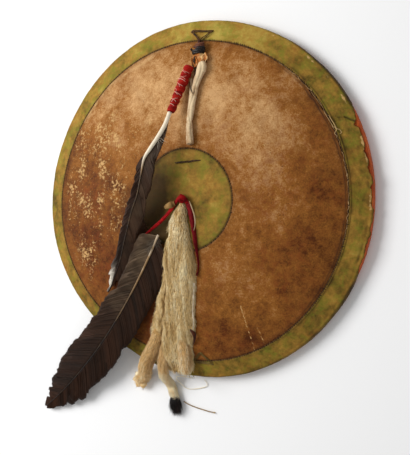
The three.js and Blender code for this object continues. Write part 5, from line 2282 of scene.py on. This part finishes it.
    def build(self) -> None:
        """Makes and dresses the skin, the fur, the feet, the tail and the dried bits."""
        hide = StrandFinish.dyed("pelt_skin", 0.85, (96, 66, 32), (176, 138, 84), (248, 226, 178), size=1.5,
            specular=0.15)
        fur = StrandFinish.dyed("sandy_fur", 0.7, (146, 106, 52), (230, 196, 132), (255, 240, 196), size=6.0,
            specular=0.2, sheen=0.1, relief=0.03)
        ginger = StrandFinish.dyed("ginger_fur", 0.7, (160, 108, 50), (234, 192, 126), (255, 242, 204), size=6.0,
            specular=0.25, sheen=0.2, relief=0.03)
        black = StrandFinish.dyed("black_fur", 0.5, (8, 3, 2), (26, 13, 9), (84, 54, 38), size=6.0, specular=0.35,
            relief=0.03)
        pale = StrandFinish.dyed("dried_edge", 0.6, (150, 118, 80), (206, 182, 144), (242, 228, 202), size=1.5)
        rust = StrandFinish.dyed("dried_curl", 0.45, (28, 10, 5), (78, 34, 16), (150, 84, 46), size=1.5, specular=0.4)
        claw = StrandFinish.dyed("claw", 0.35, (60, 42, 26), (150, 120, 84), (210, 184, 142), size=0.8,
            specular=0.45, relief=0.05)
        leg = [(0, 2.0), (0.1, 8.4), (0.4, 9.6), (0.65, 9.6), (0.85, 8.8), (0.96, 8.0), (1, 5.0)]
        short = [(0, 2.0), (0.12, 8.0), (0.5, 8.6), (0.8, 8.0), (0.95, 7.4), (1, 4.5)]
        root = [(0, 2.0), (0.1, 7.6), (0.35, 7.0), (0.6, 5.8), (1, 4.8)]
        end = [(0, 3.4), (0.4, 4.4), (0.85, 2.6), (1, 0.6)]
        parts = [self.skin(), self.limb(self.hind_foot, leg, 0.85), self.limb(self.near_foot, short, 0.85),
            self.limb(self.tail, root, 0.85, 1.0)]
        make_piece("pelt_skin", Surface.joined(parts), hide, ["weasel_pelt"])
        make_piece("pelt_back_fur", self.back_fur(13800), fur)
        make_piece("pelt_leg_fur", Surface.joined([
            self.limb_fur(self.hind_foot, leg, 0.85, 3600, 7.0, [(0, 0.4), (0.5, 0.42), (0.8, 0.6), (1, 0.7)], 170),
            self.limb_fur(self.near_foot, short, 0.85, 2500, 6.5, [(0, 0.45), (0.6, 0.55), (1, 0.75)], 174),
            self.limb_fur(self.tail, root, 0.85, 4600, 8.0,
                [(0, 0.42), (0.4, 0.5), (0.62, 0.75), (0.85, 0.95), (1, 0.95)], 178),
        ]), ginger)
        make_piece("tail_tuft_core", self.limb(self.tuft, end, 0.9), black)
        make_piece("tail_tuft", self.limb_fur(self.tuft, end, 0.9, 1900, 16.0, [(0, 0.2), (1, 0.4)], 182, lie=0.26),
            black)
        hind, hind_claws = self.paw((-86, -239.5, 6.8), 210.0, 33.0, 5.4, 186)
        near, near_claws = self.paw((-14.5, -217, 11.0), -88.0, 24.0, 4.2, 187)
        make_piece("paws", Surface.joined([hind, near]), ginger)
        make_piece("claws", Surface.joined([hind_claws, near_claws]), claw)
        make_piece("skin_edges", self.skin_edge(), pale)
        make_piece("dried_curls", self.dried_bits(), rust)
        make_piece("snout", self.snout(), hide)


# Ribbon, sinew and cord


@dataclass
class Ribbon:
    """The red cloth ribbon: a lumpy knot, and two free ends."""

    width: float = 5.5
    left: Route = (
        (-7.6, -3.6, 6), (-10.5, -8, 6.4), (-14, -13.5, 7), (-18, -18.5, 7.4), (-22.5, -23, 7.6),
        (-27.5, -27.5, 7.8), (-32.5, -31.5, 7.8),
        (-37.5, -35, 7.8), (-42.5, -38.5, 7.8), (-46.5, -41.5, 7.8), (-50.5, -44, 7.8), (-53.5, -46, 7.8),
        (-56, -47.5, 7.8), (-58, -48.8, 7.8), (-59.8, -49.8, 7.8),
    )
    right: Route = (
        (6.6, -3.6, 5.6), (8, -7, 4.8), (9.4, -11.5, 4), (10.5, -17, 3.2), (11.5, -23, 2.6), (12.6, -30, 2.2),
        (13.8, -37, 2.1), (14.8, -44, 2.1),
        (15.6, -51, 2.2), (16.4, -58, 2.3), (17.2, -65, 2.2), (18, -72, 2), (18.4, -79, 1.8), (18, -86, 1.8),
        (16.8, -92, 1.8), (15, -97, 1.8),
    )

    def tail_end(self, name: str, node: str, route: Rows, bright: float, twist: float, cloth: Material,
        seed: int) -> Piece:
        """A free end: a flat folded strip that narrows to a frayed tip.

        Each ring is an oval whose upper side is creased by cos(3 angle), turned as the ribbon twists.

        Args:
            name: The piece's name.
            node: The CAD node it replaces.
            route: Its route, as (x, y, lift).
            bright: Its tone at the knot.
            twist: How far it turns over along its length, in radians.
            cloth: Its finish.
            seed: Which random numbers it draws.

        Returns:
            The piece.
        """
        rings, sides = 120, 22
        known = DOME.over(route)
        path = smooth_path(known, rings)
        share = evenly(rings)
        sideways, upward = sides_of(path, UP)
        angle = (2 * np.pi * np.arange(sides) / sides)[None]
        half = (
            (0.8 if twist < 1.3 else 1.05) * self.width / 2
            * table([(0, 0.85), (0.1, 1.05), (0.5, 1.0), (0.8, 0.85), (0.93, 0.6), (1, 0.3)], share)[:, None]
        )
        crease = 1 + 0.22 * np.cos(3 * angle + 2.2 * share[:, None] + 1.5 * wave(share * 3, seed)[:, None])
        wide = half * np.cos(angle) * (1 + 0.08 * wave(share * 18, seed + 1)[:, None])
        high = (
            0.34 * half * np.sin(angle) * crease + 0.3 * np.cos(angle * 2 + share[:, None] * 8) * (1 - share[:, None])
        )
        turn = (twist * share + 0.35 * wave(share * 4, seed + 2, 3))[:, None]
        x, z = wide * np.cos(turn) - high * np.sin(turn), wide * np.sin(turn) + high * np.cos(turn)
        ring = path[:, None] + x[..., None] * sideways[:, None] + z[..., None] * upward[:, None]
        # The upper side is lighter by 0.16 sin(angle): painted light.
        tint = (
            bright + 0.2 * wave(share[:, None] * 30, seed + 3, angle * 2) + 0.16 * np.sin(angle)
            - 0.2 * share[:, None]
        )
        parts = [lofted(ring, clipped(tint=tint))]
        draw = np.random.default_rng(seed)
        t = evenly(14)[None]
        count = 16
        begin = draw.uniform(0.84, 0.97, (count, 1))
        offset = draw.uniform(-0.8, 0.8, (count, 1)) * self.width / 2 * 0.6
        at = (begin + (1.0 - begin) * t) * (rings - 1)
        centre, aside, lift = (read(part, at) for part in (path, sideways, upward))
        out = offset * (0.5 + 1.3 * t) + draw.normal(0, 0.5, (count, 1)) * t**2
        fray = centre + out[..., None] * aside + (draw.uniform(0, 1.1, (count, 1)) * t)[..., None] * lift
        parts.append(tube(fray, 0.24 * (1 - 0.6 * t) * np.ones((count, 14)), 4,
                tint=np.broadcast_to(draw.uniform(0.2, 0.8, (count, 1)), (count, 14))))
        piece = make_piece(name, Surface.joined(parts), cloth, [node])
        return piece

    def knot(self) -> Surface:
        """The knot: the ribbon bent over itself in one broad loop, with two turns under it and a fold in each."""
        middle, _ = node_box("ribbon_knot")
        parts = []
        for route, wide, flat, turn, seed in (
            ([(-8.8, -5.0, -1.0), (-5.0, -1.0, 1.6), (-1.4, 2.4, 2.6), (2.4, 3.2, 2.6), (5.6, 0.6, 1.6),
                    (8.0, -4.4, -0.6)], 3.2, 0.5, 0.3, 190),
            ([(-6.4, -2.4, -2.4), (-2.6, 0.6, 0.2), (1.6, 1.0, 0.6), (5.2, -1.4, -0.6), (7.4, -4.8, -2.2)], 2.9, 0.6,
                -0.4, 191),
            ([(-3.6, 4.4, -3.4), (-1.0, 4.6, 0.2), (0.8, 1.4, 3.4), (1.4, -2.4, 2.2), (1.0, -4.4, -1.6)], 2.6, 0.45,
                0.2, 192),
        ):
            path = smooth_path(np.array(route) + middle, 60)
            t = evenly(60)
            radius = wide * (0.75 + 0.35 * np.sin(np.pi * t)) * (1 + 0.1 * wave(t * 8, seed))
            parts.append(tube(path, radius, 16, flat=flat, turn=turn + 0.6 * np.sin(t * 3),
                    tint=held(0.5 + 0.4 * wave(t * 6, seed + 5))))
        return Surface.joined(parts)

    def build(self) -> None:
        """Makes and dresses the knot and both ends."""
        bright = StrandFinish.dyed("red_ribbon", 0.75, (58, 1, 3), (140, 7, 13), (200, 28, 32), size=0.9,
            specular=0.12, relief=0.12)
        # The right end's darker copy of the red ribbon is painted shade.
        shaded_red = StrandFinish.dyed("maroon_ribbon", 0.75, (40, 3, 6), (92, 8, 14), (142, 26, 30), size=0.9,
            specular=0.12, relief=0.12)
        self.tail_end("ribbon_left_tail", "ribbon_left_end", self.left, 0.5, 1.0, bright, 200)
        self.tail_end("ribbon_right_tail", "ribbon_right_end", self.right, 0.6, 1.6, shaded_red, 206)
        make_piece("ribbon_bow", self.knot(), bright, ["ribbon_knot"])


@dataclass
class FloorThreads:
    """The pale sinew and the twisted tail cord that lie on the floor under the pelt."""

    sinew_route: Route = (
        (-16, -236, 1.5), (-20, -235.4, 3.2), (-25, -234.2, 6.5), (-30, -233, 10.6), (-33.6, -232.4, 13.6),
        (-35.4, -233.6, 14.2), (-35.4, -236.6, 12.2),
        (-34.2, -240.4, 7.6), (-32.6, -244.6, 3), (-30, -248.6, 1), (-25.6, -250.8, 1), (-20, -251.2, 1),
        (-13, -250.2, 1), (-6, -248.6, 1), (0.6, -247, 1),
        (5, -245.4, 1), (6, -242.6, 1), (3.6, -239.4, 1), (0, -236.6, 1),
    )
    cord_route: Route = (
        (-29.5, -268, 1.6), (-26, -269.8, 1.4), (-22, -271.6, 1.2), (-17.5, -273, 1.1), (-13, -274.2, 1.1),
        (-8.5, -275.2, 1.1), (-4, -276, 1.1),
        (0, -276.8, 1.1), (4, -277.6, 1.1), (8, -278.2, 1.1), (12, -278.6, 1.1), (16, -278.8, 1.1),
    )
    sinew_width: float = 1.3
    cord_width: float = 1.6

    def build(self) -> None:
        """Makes and dresses both."""
        pale = StrandFinish.dyed("floor_sinew", 0.55, (190, 170, 130), (230, 216, 184), (250, 242, 222), size=0.8)
        path = relaxed(smooth_path(self.sinew_route, 220), 100)
        t = evenly(220)
        half = (
            self.sinew_width / 2 * (0.95 + 0.16 * wave(t * 30, 210))
            * table([(0, 0.8), (0.25, 1.2), (0.45, 1.05), (0.95, 0.8), (1, 0.4)], t)
        )
        half = np.clip(half, 0.25, self.sinew_width * 0.6)
        piece = make_piece("floor_sinew_thread", tube(path, half, 10, flat=0.75, turn=4 * t,
                tint=0.85 + 0.15 * wave(t * 16, 211, 4)), pale, ["loose_sinew"])
        line = (path + AXIS) * MM
        brown = StrandFinish.dyed("tail_cord", 0.75, (76, 56, 34), (146, 116, 78), (206, 180, 138), size=0.6)
        path = smooth_path(self.cord_route, 200)
        t = evenly(200)
        sideways, upward = sides_of(path, UP)
        plies = []
        for ply in range(2):
            a = t * 90 + ply * np.pi
            line = path + 0.4 * np.cos(a)[:, None] * sideways + 0.4 * np.sin(a)[:, None] * upward
            plies.append(tube(line, 0.42 * table([(0, 1), (0.9, 0.95), (1, 0.7)], t), 7,
                    tint=0.45 + 0.2 * ply + 0.2 * wave(t * 12, 212, ply)))
        a = np.linspace(0, 2.2 * 2 * np.pi, 60)
        end = path[-1] + np.column_stack([0.5 * np.sin(a * 0.5) - 0.8, 0.75 * np.cos(a), 0.7 * np.sin(a) + 0.1])
        plies.append(tube(end, 0.4, 7, tint=np.full(60, 0.85)))
        piece = make_piece("tail_thread", Surface.joined(plies), brown, ["tail_cord"])
        line = (path + AXIS) * MM


def main() -> None:
    """Builds the camera and the cords first, then every sub-assembly, and the studio round them."""
    logging.basicConfig(level=logging.INFO, format="%(message)s")
    studio = Studio()
    studio.camera()
    Ribbon().build()
    FloorThreads().build()
    disc = Disc()
    disc.build()
    Seams().build(disc)
    Thongs().build()
    Feathers().build()
    Pelt().build()
    studio.floor()
    studio.light()
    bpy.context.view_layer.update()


if __name__ == "__main__":
    main()
